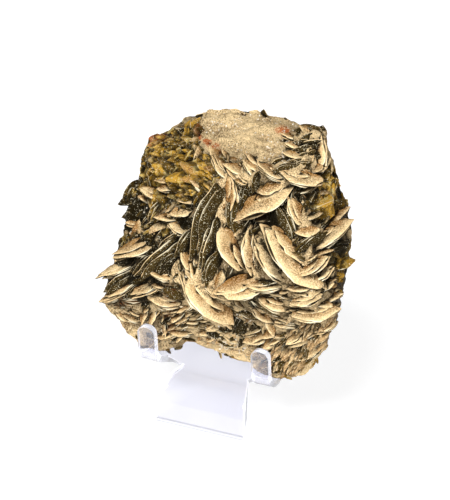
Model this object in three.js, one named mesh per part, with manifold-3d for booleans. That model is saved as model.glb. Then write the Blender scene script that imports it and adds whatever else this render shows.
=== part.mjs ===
// Siderite with quartz: a rosette of lens-shaped siderite blades grown over a broken matrix,
// standing on a small display easel bent from one sheet of clear acrylic.
// Millimetres, +Z up, +X to the right, the easel faces -Y. The origin is under the middle of
// the whole object, on the surface it stands on.
import * as THREE from 'three';
import Module from 'manifold-3d';

const wasm = await Module();
wasm.setup();

// Easel: sheet and widths
const sheetThickness = 2.3;
const easelWidth = 48.2;
const hookWidth = 6.3;
const neckWidth = 24.6;
const footWidth = 34;
const rearTopWidth = 34;
const rearFootWidth = 24;

// Easel: the sheet's mid-line seen from the side, lengths in mm and turns in degrees
const panelLean = 22;
const hookRadius = 6.75;
const hookCentre = new THREE.Vector2(-3.3, 25.3);
const lipLean = 5;
const lipLength = 8.7;
const lipRounding = 2.8;
const panelLength = 36;
const topBendRadius = 4.5;
const rearLegSlope = 76;
const neckDrop = 7;
const neckRadius = 3.2;
const tongueStart = 5;
const tongueRadius = 10.9;
const tongueEnd = 77;
const slotDepthAtHook = 10.6;
const slotDepthInside = 8.3;
const slotDepthAtNeck = 8.9;

// Specimen: where it rests and which way its show side faces
const seatGap = 0.3;
const faceTurn = 25;
const faceTilt = 25;
const faceMiddle = new THREE.Vector3(0.7, 5.1, 59);

const rad = THREE.MathUtils.degToRad;

// ---------------------------------------------------------------- closed bodies

// Joins triangles and positions into one geometry, turned inside out if they enclose a
// negative volume.
function closedGeometry(points, triangles) {
  let volume = 0;
  for (const [i, j, k] of triangles) {
    volume += points[i].dot(new THREE.Vector3().crossVectors(points[j], points[k]));
  }
  const outward = volume > 0 ? triangles : triangles.map(([i, j, k]) => [i, k, j]);
  const geometry = new THREE.BufferGeometry();
  geometry.setAttribute('position', new THREE.Float32BufferAttribute(
    points.flatMap((point) => point.toArray()), 3));
  geometry.setIndex(outward.flat());
  geometry.computeVertexNormals();
  return geometry;
}

// A body skinned over rings of equally many points, each end closed by a fan.
function ringBody(rings) {
  const count = rings[0].length;
  const points = rings.flat();
  const triangles = [];
  for (let ring = 0; ring + 1 < rings.length; ring += 1) {
    for (let i = 0; i < count; i += 1) {
      const here = ring * count + i;
      const next = ring * count + (i + 1) % count;
      triangles.push([here, next, next + count]);
      triangles.push([here, next + count, here + count]);
    }
  }
  for (const [ring, offset] of [[rings[0], 0], [rings.at(-1), (rings.length - 1) * count]]) {
    const middle = new THREE.Vector3();
    ring.forEach((point) => middle.addScaledVector(point, 1 / count));
    points.push(middle);
    for (let i = 0; i < count; i += 1) {
      const edge = [offset + i, offset + (i + 1) % count];
      if (offset === 0) edge.reverse();
      triangles.push([points.length - 1, ...edge]);
    }
  }
  return closedGeometry(points, triangles);
}

function toSolid(geometry) {
  return new wasm.Manifold(new wasm.Mesh({
    numProp: 3,
    vertProperties: new Float32Array(geometry.attributes.position.array),
    triVerts: new Uint32Array(geometry.index.array),
  }));
}

function toGeometry(solid) {
  const mesh = solid.getMesh();
  const geometry = new THREE.BufferGeometry();
  geometry.setAttribute('position', new THREE.Float32BufferAttribute(mesh.vertProperties, 3));
  geometry.setIndex(new THREE.Uint32BufferAttribute(mesh.triVerts, 1));
  geometry.computeVertexNormals();
  return geometry;
}

// ---------------------------------------------------------------- the easel's sheet

// A mid-line in (y, z) made of straight and bent steps; its at(s) gives the place and the
// heading after the length s.
function midLine(start, heading, steps) {
  return {
    length: steps.reduce((sum, step) => sum + stepLength(step), 0),
    at(s) {
      let { x: y, y: z } = start;
      let angle = rad(heading);
      let left = s;
      for (const step of steps) {
        const run = Math.min(left, stepLength(step));
        if (step.turn) {
          const side = Math.sign(step.turn);
          const turned = angle + side * run / step.radius;
          y += side * step.radius * (Math.sin(turned) - Math.sin(angle));
          z -= side * step.radius * (Math.cos(turned) - Math.cos(angle));
          angle = turned;
        } else {
          y += run * Math.cos(angle);
          z += run * Math.sin(angle);
        }
        left -= run;
      }
      return { y, z, angle };
    },
  };
}

function stepLength(step) {
  return step.turn ? Math.abs(rad(step.turn)) * step.radius : step.length;
}

const bendPoint = new THREE.Vector2(
  hookCentre.x + hookRadius * Math.cos(rad(panelLean)),
  hookCentre.y - hookRadius * Math.sin(rad(panelLean)));
const downPanel = 270 - panelLean;

const hookLine = midLine(bendPoint, downPanel, [
  { radius: hookRadius, turn: 90 + lipLean - downPanel },
  { length: lipLength },
]);

const tongueSteps = [
  { length: neckDrop },
  { radius: neckRadius, turn: 180 + tongueStart - downPanel },
  { radius: tongueRadius, turn: tongueEnd - tongueStart },
];
const tongueBent = tongueSteps.reduce((sum, step) => sum + stepLength(step), 0);
const tongueDrop = midLine(bendPoint, downPanel, tongueSteps).at(tongueBent).z;
const tongueLine = midLine(bendPoint, downPanel, [
  ...tongueSteps,
  { length: tongueDrop / Math.sin(rad(tongueEnd)) },
]);

const rearSteps = [
  { length: panelLength },
  { radius: topBendRadius, turn: -(90 - panelLean + rearLegSlope) },
];
const rearBent = rearSteps.reduce((sum, step) => sum + stepLength(step), 0);
const rearDrop = midLine(bendPoint, 90 - panelLean, rearSteps).at(rearBent).z;
const rearLine = midLine(bendPoint, 90 - panelLean, [
  ...rearSteps,
  { length: rearDrop / Math.sin(rad(rearLegSlope)) },
]);

// Evenly spaced lengths between two ends, without the first.
function spaced(from, to, count) {
  return Array.from({ length: count }, (_, i) => from + (to - from) * (i + 1) / count);
}

// One side of the sheet at a crossing of its grid: mid-line place, pushed off along the
// sheet's normal, and slid down the last stretch to the floor where the sheet ends there.
function sheetPoint(crossing, offset) {
  const along = new THREE.Vector3(0, Math.cos(crossing.angle), Math.sin(crossing.angle));
  const normal = new THREE.Vector3(0, -along.z, along.y);
  const point = new THREE.Vector3(crossing.x, crossing.y, crossing.z).addScaledVector(normal, offset);
  if (crossing.onFloor) point.addScaledVector(along, -point.z / along.z);
  return point;
}

// Crossings of the sheet's grid for one patch: columns across, rows along.
function patch(columns, rows, crossingAt) {
  return rows.map((row) => columns.map((column) => crossingAt(column, row)));
}

// The whole sheet as patches of crossings. grow widens every strip, which makes the room
// that the specimen keeps clear of.
function easelPatches(grow) {
  const outer = easelWidth / 2 + grow;
  const inner = easelWidth / 2 - hookWidth - grow;
  const neck = neckWidth / 2 + grow;
  const middle = (inner + outer) / 2;
  const halfHook = (outer - inner) / 2;
  const hookColumns = [-1, -0.86, -0.5, 0, 0.5, 0.86, 1].map((part) => middle + part * halfHook);
  const webColumns = [0, 0.15, 0.5, 0.85, 1];
  const slotParts = [0, 0.35, 0.65, 0.85, 1];
  const neckColumns = [-1, 0, 1].map((part) => part * neck);
  const patches = [];

  // hooks, with their lips rounded at the top
  const arcLength = stepLength({ radius: hookRadius, turn: 90 + lipLean - downPanel });
  const hookRows = [
    ...slotParts.map((part) => part * slotDepthAtHook),
    ...spaced(slotDepthAtHook, arcLength, 4),
    hookLine.length,
  ];
  const hookCrossing = (x, s) => {
    const inset = Math.max(0, Math.abs(x - middle) - (halfHook - lipRounding));
    const rounding = lipRounding - Math.sqrt(Math.max(0, lipRounding ** 2 - inset ** 2));
    return hookLine.at(s === hookLine.length ? s - rounding : s);
  };

  // web between hook and neck: blends from the hook's bend to the tongue's
  const webCrossing = (part, slotPart) => {
    const depth = part < 0.5
      ? THREE.MathUtils.lerp(slotDepthAtHook, slotDepthInside, Math.sqrt(part * 2))
      : THREE.MathUtils.lerp(slotDepthInside, slotDepthAtNeck, (part * 2 - 1) ** 2);
    const hook = hookLine.at(slotPart * depth);
    const tongue = tongueLine.at(slotPart * depth);
    const blend = THREE.MathUtils.smoothstep(part, 0, 1);
    return {
      y: THREE.MathUtils.lerp(hook.y, tongue.y, blend),
      z: THREE.MathUtils.lerp(hook.z, tongue.z, blend),
      angle: THREE.MathUtils.lerp(hook.angle, tongue.angle, blend),
    };
  };

  for (const side of [-1, 1]) {
    const outward = side < 0 ? [...hookColumns].reverse() : hookColumns;
    patches.push(patch(outward, hookRows, (x, s) => ({ x: side * x, ...hookCrossing(x, s) })));
    const web = side < 0 ? webColumns : [...webColumns].reverse();
    patches.push(patch(web, slotParts, (part, slotPart) => ({
      x: side * THREE.MathUtils.lerp(inner, neck, part), ...webCrossing(part, slotPart),
    })));
  }

  // tongue: flares from the neck to the foot, mostly in its bend
  const tongueRows = [
    ...slotParts.map((part) => part * slotDepthAtNeck),
    ...spaced(slotDepthAtNeck, tongueBent, 8),
    tongueLine.length,
  ];
  const flareLength = tongueLine.length - slotDepthAtNeck;
  patches.push(patch(neckColumns, tongueRows, (x, s) => {
    const down = Math.max(0, (s - slotDepthAtNeck) / flareLength);
    const flare = 1 + (footWidth / neckWidth - 1) * Math.sin(down * Math.PI / 2) ** 0.9;
    return { x: x * flare, ...tongueLine.at(s), onFloor: s === tongueLine.length };
  }));

  // panel, top bend and rear leg, one wide patch
  const across = [
    ...[...hookColumns].reverse().map((x) => -x),
    ...webColumns.slice(1).map((part) => -THREE.MathUtils.lerp(inner, neck, part)),
    0,
    ...[...webColumns.slice(1)].reverse().map((part) => THREE.MathUtils.lerp(inner, neck, part)),
    ...hookColumns,
  ];
  const rearRows = [0, panelLength / 2, ...spaced(panelLength / 2, panelLength, 1),
    ...spaced(panelLength, rearBent, 8), rearLine.length];
  patches.push(patch([...across].reverse(), rearRows, (x, s) => {
    const up = THREE.MathUtils.smoothstep(s, 0.3 * panelLength, panelLength);
    const back = Math.max(0, (s - rearBent) / (rearLine.length - rearBent));
    const top = THREE.MathUtils.lerp(easelWidth, rearTopWidth, up);
    const width = THREE.MathUtils.lerp(top, rearFootWidth, back);
    const onFloor = s === rearLine.length;
    return { x: x * width / easelWidth, ...rearLine.at(s), flip: true, onFloor };
  }));
  return patches;
}

// Gives the patches their thickness: both faces and a wall along every free edge.
function easelGeometry(grow) {
  const half = sheetThickness / 2 + grow;
  const crossings = [];
  const indexOf = new Map();
  const cells = [];
  const find = (crossing) => {
    const key = [crossing.x, crossing.y, crossing.z].map((value) => value.toFixed(3)).join();
    if (!indexOf.has(key)) {
      indexOf.set(key, crossings.length);
      crossings.push(crossing);
    }
    return indexOf.get(key);
  };
  for (const rows of easelPatches(grow)) {
    for (let row = 0; row + 1 < rows.length; row += 1) {
      for (let column = 0; column + 1 < rows[row].length; column += 1) {
        cells.push([
          find(rows[row][column]),
          find(rows[row][column + 1]),
          find(rows[row + 1][column + 1]),
          find(rows[row + 1][column]),
        ]);
      }
    }
  }
  const front = crossings.map((crossing) => sheetPoint(crossing, crossing.flip ? half : -half));
  const back = crossings.map((crossing) => sheetPoint(crossing, crossing.flip ? -half : half));
  const count = crossings.length;
  const edges = new Set();
  const triangles = [];
  for (const [a, b, c, d] of cells) {
    triangles.push([a, b, c], [a, c, d]);
    triangles.push([a + count, c + count, b + count], [a + count, d + count, c + count]);
    for (const [from, to] of [[a, b], [b, c], [c, d], [d, a]]) edges.add(`${from},${to}`);
  }
  for (const edge of edges) {
    const [from, to] = edge.split(',').map(Number);
    if (edges.has(`${to},${from}`)) continue;
    triangles.push([from, from + count, to + count], [from, to + count, to]);
  }
  return closedGeometry([...front, ...back], triangles);
}

// ---------------------------------------------------------------- the specimen

// The show side's own frame: across to the right, upward, and outward to whoever looks at it.
const across = new THREE.Vector3(Math.cos(rad(faceTurn)), Math.sin(rad(faceTurn)), 0);
const outward = new THREE.Vector3(
  Math.sin(rad(faceTurn)) * Math.cos(rad(faceTilt)),
  -Math.cos(rad(faceTurn)) * Math.cos(rad(faceTilt)),
  Math.sin(rad(faceTilt)));
const upward = new THREE.Vector3().crossVectors(outward, across);

// The specimen's flat back lies along the panel's front face, seatGap in front of it.
const panelNormal = new THREE.Vector3(0, -Math.cos(rad(panelLean)), Math.sin(rad(panelLean)));
const panelMiddle = panelNormal.dot(new THREE.Vector3(0, bendPoint.x, bendPoint.y));
const backPlane = panelMiddle + sheetThickness / 2 + seatGap;

// The point of the specimen seen at (a, h) on the show side, m in front of its back.
function specimenPoint(a, h, m) {
  const point = faceMiddle.clone().addScaledVector(across, a).addScaledVector(upward, h);
  const short = backPlane + m - panelNormal.dot(point);
  return point.addScaledVector(outward, short / panelNormal.dot(outward));
}

// Matrix outline seen from the show side, clockwise from the top: across, upward and the
// distance from the back there.
const outline = [
  [-5, 47, 5], [4, 47, 5], [11, 46, 5], [17, 44, 5], [22, 42.5, 5], [27, 40.5, 6], [31, 40.5, 6],
  [33, 39, 6], [33.3, 35, 6], [34.6, 31, 6], [36.5, 24, 6], [38, 18, 6], [40, 14.5, 6], [41, 8, 6],
  [41, 2, 6], [40.5, -4, 6], [39, -12, 5], [38, -17, 5], [36.8, -22.5, 5], [34.3, -27, 5],
  [33.4, -32.5, 4], [29.6, -36.5, 4], [27.2, -40.5, 4], [24, -42, 4], [18, -42.5, 4], [13, -41, 4],
  [9, -37.5, 5], [3, -35.3, 5], [-5, -33, 5], [-13, -29.8, 6], [-18, -32.5, 4], [-22.5, -34.2, 4],
  [-28, -32.8, 5], [-33, -28.3, 9], [-36, -24, 12], [-39.5, -19.5, 16], [-40.5, -13, 18],
  [-38, -7, 19], [-37, -1, 19], [-34, 5, 19], [-32.7, 12, 18], [-32, 19, 17], [-28.3, 25, 14],
  [-28, 32, 11], [-26, 38, 9], [-19, 40.3, 7], [-12.5, 45, 6],
];

// Planes that the broken matrix ends at: distance from the back at a point, its slopes across
// and upward.
const facets = [
  { at: [0, 0, 26.5], slope: [0.05, 0.02] },
  { at: [-40, -12, 21], slope: [0.3, 0] },
  { at: [8, 28, 24], slope: [0.04, -1.02] },
  { at: [-12, 20, 25], slope: [0.6, -0.5] },
  { at: [29, 0, 26], slope: [-1.62, 0] },
  { at: [29, 20, 21], slope: [-1.3, -0.25] },
  { at: [0, -29.8, 10], slope: [0.19, 0.95] },
];

// Hollows and lumps on the show side: across, upward, radius, height.
const swells = [
  [12.5, 12, 5, -5], [25, 17.5, 5.5, -4], [10.5, -24, 4.5, -5], [-29.5, 11, 5, -3.5],
  [-30, -6, 5, -2.5], [2.5, 28.5, 3, -2], [16, -16, 4, -2.5], [-4, 12, 6, 1.5], [27, 38, 4.5, 3.5],
  [4, 31.5, 4, -1.6], [-16, 30, 6, 2], [21.5, -5, 9, 2.5], [-9, -12, 7, 2.5], [-20, -16, 6, 1.5],
];

// How far the matrix's facets are broken up.
const roughness = 0.8;

// Repeatable unevenness between -1 and 1.
function uneven(...seeds) {
  const phase = seeds.reduce((sum, seed, i) => sum + seed * (12.9898 + 65.2 * i), 1.7);
  const wave = Math.sin(phase) * 43758.5453;
  return 2 * (wave - Math.floor(wave)) - 1;
}

function matrixHeight(a, h) {
  let height = Math.min(...facets.map(({ at, slope }) => (
    at[2] + (a - at[0]) * slope[0] + (h - at[1]) * slope[1])));
  for (const [x, y, radius, rise] of swells) {
    height += rise * Math.exp(-((a - x) ** 2 + (h - y) ** 2) / radius ** 2);
  }
  return height;
}

function matrixGeometry() {
  const middle = [0, 3];
  const parts = [0.12, 0.3, 0.48, 0.64, 0.78, 0.9];
  const rings = parts.map((part, ring) => outline.map(([a, h, edge], i) => {
    const x = middle[0] + (a - middle[0]) * part;
    const y = middle[1] + (h - middle[1]) * part;
    const rough = ring > 0 ? roughness * uneven(i, ring) : 0;
    return specimenPoint(x, y, Math.max(edge, matrixHeight(x, y) + rough));
  }));
  rings.push(outline.map(([a, h, edge]) => specimenPoint(a, h, edge)));
  rings.push(outline.map(([a, h, edge]) => {
    const left = THREE.MathUtils.clamp(-a / 20, 0, 1);
    return specimenPoint(0.95 * a + 0.5 * edge * left, h > 0 ? 0.95 * h : h, 0);
  }));
  return ringBody(rings);
}

// Blades: across, upward, length and width as seen, turn of the long axis in degrees, tilt
// (positive shows the upper face, negative the under face), lift out of the matrix.
const blades = [
  // upper left
  [-22.8, 18.3, 11, 4, -15, 45, 1.5], [-18.8, 20.6, 7, 2.4, 10, 50, 1], [-13.5, 13.3, 9, 4, 20, 45, 1],
  [-14, 7.5, 8, 5, -20, 40, 0.5], [-31, 20, 11, 6, 50, -35, 0.5], [-33, 16.8, 6, 3, 25, 40, 0.5],
  [-30, 5.5, 8, 6, 80, 30, 0.5], [-15, 33, 10, 5, 35, -30, 1], [-22, 31, 9, 5, 60, -25, 0.5],
  [-23, 25, 9, 4, 20, 35, 0.5], [-9, 26, 9, 4, -35, 40, 0.5],
  // middle, standing blades seen from below
  [-5.5, 12, 29, 6, 66, -45, 2.5], [-3.5, 5.5, 27, 4, 68, -55, 1], [3, 11, 16, 5, 85, -35, 1.5],
  [6.5, 15, 13, 4.5, 70, -35, 0.5], [-4, -3, 11, 5, 50, -40, 2],
  // left
  [-19, 0, 25, 2.6, 38, -68, 2.5], [-18, -4, 13, 6, 30, -35, 0.5], [-28, -1, 20, 4.5, 22, 50, 1.5],
  [-34.5, -7.5, 18, 3, 24, 60, 1], [-34.5, -12.3, 12, 2, 40, 65, 0.5], [-21, -8.3, 11, 3.2, -12, 50, 1],
  [-25, -12.5, 12, 2.6, 28, 60, 1], [-32, -16, 14, 3.4, 3, 50, 1], [-19, -17, 13, 6, -10, 40, 1.5],
  [-40, -18.5, 10, 3, 35, 50, 0.5], [-34, -21.5, 10, 6, -45, 30, 0.5], [-24, -21.5, 9, 2.4, 80, 60, 0.5],
  [-14.5, -22.8, 9, 2, 40, 60, 0.5], [-12, -19, 8, 2, 35, 60, 0.5], [-28, -26.5, 9, 3.5, 10, 40, -0.5],
  [-10.5, -3, 9, 4, -70, 40, 1.5],
  // middle front, cream shields
  [-9, -12.5, 17, 9.5, -45, 32, 2.5], [-0.5, -21, 10, 5, -60, 35, 1], [1.5, 1, 15, 8, -60, 35, 2.5],
  [7.5, -1, 20, 5, -85, 45, 1.5], [4.5, -12, 16, 11, 30, 30, 2.5], [17, -12.8, 17, 3.2, 5, 60, 2],
  [7, -20.5, 8, 4, -30, 35, 0.5], [-5, -27, 8, 4, 20, 30, 0], [3, -29.5, 9, 4, -15, 30, 0],
  // right front
  [15, -4, 16, 7, -50, 35, 1.5], [21.5, -5, 25, 11, -38, 30, 3], [28.5, -6.5, 11, 3.2, 35, 55, 2],
  [30.5, -9.3, 10, 2.8, 33, 55, 1.5], [31.5, -12.3, 9, 2.8, 30, 55, 1], [37, -3, 10, 8, 10, 20, 0],
  [33.5, 3, 23, 4.5, 22, 50, 1.5], [34, 7.3, 10, 2.6, 28, 55, 0.5], [36, 10.8, 9, 2.4, 28, 55, 0.5],
  [26.3, 5.5, 8, 6, 30, 35, 1], [16.5, -18, 11, 5, -15, 40, 1], [12, -21, 8, 4, -40, 40, 1],
  [14.7, -25, 6, 3.5, -75, 35, 1], [26, -17, 11, 3, 12, 55, 1], [28.5, -21.3, 16, 4.4, 6, 50, 1.5],
  [33.5, -16.3, 9, 2.4, 12, 55, 0.5], [11.5, -29.8, 10, 3.6, 18, 40, 0.5], [18, -31, 8, 2.4, 20, 50, 0.5],
  [27, -28, 15, 4, 40, 30, 0.5], [29, -34, 12, 3.5, 42, 30, 0], [21, -37, 11, 3.5, 40, 30, 0],
  // upper right
  [25.5, 25.5, 19, 8, -15, 40, 1.5], [31, 31.5, 14, 4, 60, 35, 0.5], [15.5, 24, 12, 2.6, -28, 60, 1],
  [14, 16.5, 24, 5, 35, 45, 1.5], [14.5, 11, 9, 2.2, 15, 55, 1], [19.8, 6.5, 19, 3.4, -80, -55, 1.5],
  [22, 11.5, 8, 4, -70, 35, 1.5], [35.5, 13.5, 11, 5, 30, -30, 0.5], [23.5, 33.3, 9, 2.4, -5, 60, 0.5],
  [24, 29.8, 9, 2.4, -5, 60, 0.5], [-1, 25, 12, 2.4, -47, 60, 0.5], [4.5, 25.3, 9, 2.6, 15, 55, 0.5],
  [27, 38.5, 10, 4.5, -10, 30, 0], [34.5, 20.5, 8, 4, 65, 30, 0],
];

// How deep a blade is rooted: below its own lift, and the part of its width pushed inward.
const rooted = 1.3;
const buriedPart = 0.17;

// One lens-shaped blade: a sharp rim with a smaller flat face on either side.
function bladeGeometry([a, h, length, width, turn, tilt, lift], index) {
  const along = across.clone().multiplyScalar(Math.cos(rad(turn)));
  along.addScaledVector(upward, Math.sin(rad(turn)));
  const climb = new THREE.Vector3().crossVectors(outward, along).normalize();
  const normal = outward.clone().multiplyScalar(Math.cos(rad(tilt)));
  normal.addScaledVector(climb, Math.sin(rad(tilt)));
  const wide = new THREE.Vector3().crossVectors(normal, along);
  const trueWidth = Math.min(width / Math.cos(rad(tilt)), 0.7 * length) * 1.25;
  const thickness = 0.7 + 0.085 * length;
  const buried = Math.sign(tilt) * buriedPart * trueWidth;
  const height = Math.max(3, matrixHeight(a, h) + lift - rooted);
  const centre = specimenPoint(a, h, height).addScaledVector(wide, buried);
  const rim = length < 12 ? 8 : 10;
  const level = (scale, rise, slide) => Array.from({ length: rim }, (_, i) => {
    const angle = 2 * Math.PI * i / rim;
    const swell = scale * (1 + 0.08 * uneven(index, i)) / 2;
    const bow = Math.sign(Math.sin(angle)) * Math.abs(Math.sin(angle)) ** 1.15;
    return centre.clone()
      .addScaledVector(along, swell * length * Math.cos(angle))
      .addScaledVector(wide, (swell * bow + slide) * trueWidth)
      .addScaledVector(normal, rise * thickness);
  });
  return ringBody([level(0.78, 0.5, 0.04), level(1, 0.08, 0), level(0.74, -0.5, 0.04)]);
}

function specimenGeometry() {
  const solids = [matrixGeometry(), ...blades.map(bladeGeometry)].map(toSolid);
  const joined = solids.reduce((sum, solid) => sum.add(solid));
  const room = toSolid(easelGeometry(seatGap));
  const seated = joined.subtract(room).simplify(0.02);
  const lumps = seated.decompose().sort((one, other) => other.volume() - one.volume());
  return toGeometry(lumps[0]);
}

// ---------------------------------------------------------------- the object

const easel = new THREE.Mesh(easelGeometry(0), new THREE.MeshStandardMaterial({
  color: 0xe4e4f0, roughness: 0.08, metalness: 0, transparent: true, opacity: 0.35,
}));
easel.name = 'acrylic_stand';

const specimen = new THREE.Mesh(specimenGeometry(), new THREE.MeshStandardMaterial({
  color: 0xb9935c, roughness: 0.6, metalness: 0,
}));
specimen.name = 'siderite_specimen';

const whole = new THREE.Group();
whole.add(easel, specimen);

const bounds = new THREE.Box3().setFromObject(whole);
const middle = bounds.getCenter(new THREE.Vector3());
whole.position.set(-middle.x, -middle.y, -bounds.min.z);

export default whole;
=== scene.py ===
import math
import random

import bpy
import numpy as np
from mathutils import Matrix, Vector, noise
from mathutils.bvhtree import BVHTree


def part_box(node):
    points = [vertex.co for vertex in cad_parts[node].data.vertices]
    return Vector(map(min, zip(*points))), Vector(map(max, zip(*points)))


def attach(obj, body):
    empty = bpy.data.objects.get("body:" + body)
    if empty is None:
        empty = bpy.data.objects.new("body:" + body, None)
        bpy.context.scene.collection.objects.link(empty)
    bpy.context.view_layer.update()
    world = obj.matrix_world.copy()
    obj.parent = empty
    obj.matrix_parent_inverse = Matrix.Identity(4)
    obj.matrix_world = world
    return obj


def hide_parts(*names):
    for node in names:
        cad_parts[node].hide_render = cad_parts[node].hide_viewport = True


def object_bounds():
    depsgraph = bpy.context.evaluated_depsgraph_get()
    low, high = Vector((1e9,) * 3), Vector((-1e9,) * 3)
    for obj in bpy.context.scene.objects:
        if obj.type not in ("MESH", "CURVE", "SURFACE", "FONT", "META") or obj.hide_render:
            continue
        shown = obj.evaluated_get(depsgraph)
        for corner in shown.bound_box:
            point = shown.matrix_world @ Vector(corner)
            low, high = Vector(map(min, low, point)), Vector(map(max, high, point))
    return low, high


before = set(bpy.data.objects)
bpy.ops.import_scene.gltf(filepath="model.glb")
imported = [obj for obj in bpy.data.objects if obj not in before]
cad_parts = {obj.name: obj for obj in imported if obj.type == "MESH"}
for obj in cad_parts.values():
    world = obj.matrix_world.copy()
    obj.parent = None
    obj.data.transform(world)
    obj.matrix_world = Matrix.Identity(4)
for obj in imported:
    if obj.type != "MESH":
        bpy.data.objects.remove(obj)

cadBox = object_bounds()
mm = 0.001
dice = random.Random(73)
print("frame loaded, box", cadBox)


# ---- small tools

def deselectAll():
    for thing in bpy.context.selected_objects:
        thing.select_set(False)


def activate(thing):
    deselectAll()
    thing.select_set(True)
    bpy.context.view_layer.objects.active = thing


def readCoords(thing):
    coords = np.empty(len(thing.data.vertices) * 3, dtype=np.float32)
    thing.data.vertices.foreach_get("co", coords)
    return coords.reshape(-1, 3).astype(np.float64)


def writeCoords(thing, coords):
    thing.data.vertices.foreach_set("co", np.asarray(coords, dtype=np.float32).ravel())
    thing.data.update()


def paint(thing, name, values):
    layer = thing.data.attributes.get(name) or thing.data.attributes.new(name, "FLOAT", "POINT")
    count = len(thing.data.vertices)
    layer.data.foreach_set("value", np.broadcast_to(np.asarray(values, dtype=np.float32), (count,)).copy())


def readPaint(thing, name):
    values = np.empty(len(thing.data.vertices), dtype=np.float32)
    thing.data.attributes[name].data.foreach_get("value", values)
    return values.astype(np.float64)


def joinAs(parts, name):
    deselectAll()
    for part in parts:
        part.select_set(True)
    bpy.context.view_layer.objects.active = parts[0]
    bpy.ops.object.join()
    whole = bpy.context.view_layer.objects.active
    whole.name = name
    whole.data.name = name
    return whole


def dress(thing, material):
    thing.data.materials.clear()
    thing.data.materials.append(material)


def applyAll(thing):
    activate(thing)
    for modifier in list(thing.modifiers):
        bpy.ops.object.modifier_apply(modifier=modifier.name)


# ---- shader expressions

class Wire:  # a socket that does maths: 1 - mask adds its Math node
    def __init__(self, tree, socket):
        self.tree = tree
        self.socket = socket

    def maths(self, operation, *values):
        node = self.tree.nodes.new("ShaderNodeMath")
        node.operation = operation
        for slot, value in zip(node.inputs, values):
            plug(self.tree, slot, value)
        return Wire(self.tree, node.outputs[0])

    def __add__(self, other):
        return self.maths("ADD", self, other)

    def __sub__(self, other):
        return self.maths("SUBTRACT", self, other)

    def __rsub__(self, other):
        return self.maths("SUBTRACT", other, self)

    def __mul__(self, other):
        return self.maths("MULTIPLY", self, other)

    def __truediv__(self, other):
        return self.maths("DIVIDE", self, other)

    def __pow__(self, other):
        return self.maths("POWER", self, other)

    def __gt__(self, other):
        return self.maths("GREATER_THAN", self, other)

    __radd__ = __add__
    __rmul__ = __mul__

    def ramp(self, low, high):  # 0 below low, 1 above high, smooth between
        node = self.tree.nodes.new("ShaderNodeMapRange")
        node.interpolation_type = "SMOOTHSTEP"
        for slot, value in zip(node.inputs, (self, low, high, 0.0, 1.0)):
            plug(self.tree, slot, value)
        return Wire(self.tree, node.outputs[0])


def plug(tree, slot, value):
    if isinstance(value, Wire):
        tree.links.new(value.socket, slot)
    else:
        slot.default_value = value


class Finish:  # one material and its nodes
    def __init__(self, name):
        self.material = bpy.data.materials.new(name)
        self.material.use_nodes = True
        self.tree = self.material.node_tree
        self.shader = self.tree.nodes["Principled BSDF"]
        self.output = self.tree.nodes["Material Output"]

    def node(self, kind, settings=None, out=0, **values):
        made = self.tree.nodes.new(kind)
        for key, value in (settings or {}).items():
            setattr(made, key, value)
        for key, value in values.items():
            plug(self.tree, made.inputs[key.replace("_", " ")], value)
        return Wire(self.tree, made.outputs[out])

    def noise(self, place, scale, detail=4.0, roughness=0.6, distortion=0.0):
        return self.node("ShaderNodeTexNoise", Vector=place, Scale=scale, Detail=detail,
                         Roughness=roughness, Distortion=distortion)

    def mix(self, factor, first, second):
        made = self.tree.nodes.new("ShaderNodeMix")
        made.data_type = "RGBA"
        for index, value in ((0, factor), (6, first), (7, second)):
            plug(self.tree, made.inputs[index], value)
        return Wire(self.tree, made.outputs[2])

    def attribute(self, name):
        return self.node("ShaderNodeAttribute", {"attribute_name": name}, out=2)

    def set(self, **values):
        for key, value in values.items():
            plug(self.tree, self.shader.inputs[key.replace("_", " ")], value)


def rgb(red, green, blue):  # a colour as seen, 0 to 255, in the shader's linear numbers
    return tuple(((c / 255 + 0.055) / 1.055) ** 2.4 if c > 10 else c / 255 / 12.92
                 for c in (red, green, blue)) + (1.0,)


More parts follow.
